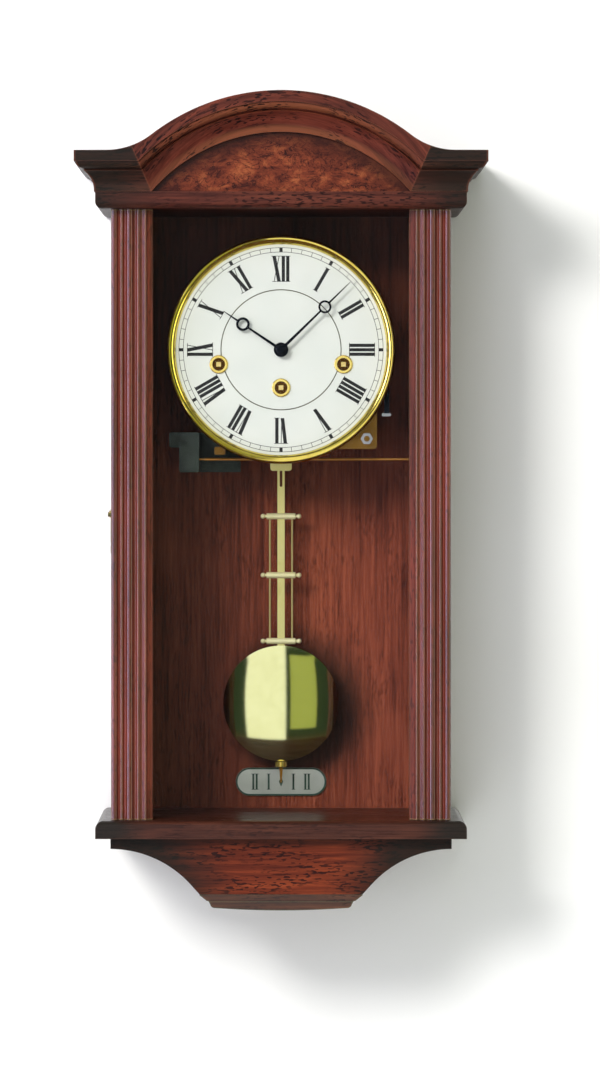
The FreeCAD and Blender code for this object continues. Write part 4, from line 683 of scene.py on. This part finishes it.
# ---------------------------------------------------------------- studio
def camera():
    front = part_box("door_stile_left")[0].y
    data = bpy.data.cameras.new("camera")
    data.sensor_width = 36.0
    data.lens = data.sensor_width * EYE_DISTANCE / VIEW_HEIGHT
    data.shift_x = AXIS_LEFT / VIEW_HEIGHT
    data.shift_y = -EYE_ABOVE / VIEW_HEIGHT
    data.clip_end = 50.0
    obj = bpy.data.objects.new("camera", data)
    obj.location = (0.0, front - EYE_DISTANCE, EYE_Z)
    obj.rotation_euler = (math.radians(90), 0, 0)
    bpy.context.scene.collection.objects.link(obj)
    bpy.context.scene.camera = obj


def lamp(name, place, power, size, tint="ffffff", aim=(0.0, -0.06, -0.17)):
    data = bpy.data.lights.new(name, "AREA")
    data.energy = power
    data.shape = "RECTANGLE"
    data.size, data.size_y = size
    data.color = rgb(tint)[:3]
    obj = bpy.data.objects.new(name, data)
    obj.location = place
    obj.rotation_euler = (Vector(aim) - Vector(place)).to_track_quat("-Z", "Y").to_euler()
    obj.visible_camera = False
    bpy.context.scene.collection.objects.link(obj)
    return obj


def backdrop(name, corners, tint):
    """A pale plane that hides nothing from behind and stops no light."""
    bm = bmesh.new()
    bm.faces.new([bm.verts.new(c) for c in corners])
    mesh = bpy.data.meshes.new(name)
    bm.to_mesh(mesh)
    bm.free()
    obj = bpy.data.objects.new(name, mesh)
    bpy.context.scene.collection.objects.link(obj)
    made, g = material(name)
    grain = g.noise(g.place(), scale=3, detail=2)
    colour = g.mix(g.step(grain, 0.3, 0.7), rgb(tint), rgb("f4f4f2"))
    surface = g.add("BsdfDiffuse", {"Color": colour})
    through = g.calc("MAXIMUM", g.add("NewGeometry").outputs["Backfacing"],
                     g.add("LightPath").outputs["Is Shadow Ray"])
    shader = g.add("MixShader", {0: through, 1: surface.outputs[0],
                                 2: g.add("BsdfTransparent").outputs[0]})
    g.add("OutputMaterial", {"Surface": shader.outputs[0]})
    mesh.materials.append(made)
    return obj


def sky():
    """Soft light from all round, with the large panes and dark gaps that brass mirrors."""
    world = bpy.data.worlds.new("studio")
    bpy.context.scene.world = world
    world.use_nodes = True
    g = Graph(world.node_tree)
    x, y, z = g.axes(g.add("TexCoord").outputs["Generated"])
    ahead = g.calc("MAXIMUM", g.calc("MULTIPLY", y, -1.0), 0.05)
    u = g.calc("DIVIDE", x, ahead)
    v = g.calc("DIVIDE", z, ahead)
    pane = g.calc("MULTIPLY", g.within(u, -0.46, 0.06, 0.02), g.within(v, -0.53, 2.4, 0.02))
    dim = g.calc("MULTIPLY", g.within(u, 0.115, 0.458, 0.012), g.within(v, -0.376, 0.59, 0.012))
    top = g.step(v, 0.68, 0.76)
    colour = g.ramp(g.step(v, -0.7, -0.4), (0.0, (0.14, 0.08, 0.04, 1)), (1.0, (0.03, 0.05, 0.03, 1)))
    colour = g.mix(dim, colour, (0.49, 0.55, 0.20, 1))
    colour = g.mix(top, colour, (0.55, 0.60, 0.50, 1))
    colour = g.mix(pane, colour, (1.3, 1.32, 1.45, 1))
    beside = g.step(g.calc("ABSOLUTE", u), 1.0, 1.5)
    colour = g.mix(beside, colour, (0.26, 0.27, 0.30, 1))
    behind = g.step(y, -0.2, 0.05)
    colour = g.mix(behind, colour, (0.4, 0.4, 0.4, 1))
    seen = g.add("LightPath").outputs["Is Camera Ray"]
    colour = g.mix(seen, colour, (0.86, 0.86, 0.86, 1))
    light = g.add("Background", {"Color": colour, "Strength": 1.0})
    g.add("OutputWorld", {"Surface": light.outputs[0]})


def studio():
    wall_y = cad_high.y + 0.2 * MM
    floor_z = cad_low.z - 0.5
    wide, tall, deep = 2.5, 2.2, 1.4
    backdrop("wall", [(-wide, wall_y, floor_z), (wide, wall_y, floor_z), (wide, wall_y, tall),
                      (-wide, wall_y, tall)], "fdfdfd")
    floor = backdrop("floor", [(-wide, -deep, floor_z), (wide, -deep, floor_z),
                               (wide, wall_y, floor_z), (-wide, wall_y, floor_z)], "b4b4b2")
    floor.visible_glossy = False
    key = lamp("key", (-1.18, -2.1, 0.92), 54, (0.7, 0.7), "fffdfa")
    key.visible_glossy = False
    lamp("left_panel", (-1.7, -1.15, 0.1), 11, (0.9, 1.7), "e8e4ff")
    lamp("right_panel", (1.7, -1.15, 0.0), 3, (0.7, 1.7), "ffffff")
    for name, side, power, tint in (("left_sheen", -1, 34, "d6d2ff"),
                                    ("right_sheen", 1, 11, "e6e0a0")):
        sheen = lamp(name, (side * 1.7, -1.25, -0.1), power, (0.7, 1.9), tint)
        sheen.visible_diffuse = False
    lamp("back", (0.9, 2.4, 0.9), 40, (1.2, 1.2))
    bpy.context.scene.view_settings.view_transform = "Standard"


dress_nodes()
# a lighting aid: the bezel throws no shadow on the dial
frame["nodes"]["dial_bezel"].visible_shadow = False
numerals()
minute_track()
inner_circle()
beat_marks()
silence_tip()
camera()
sky()
studio()
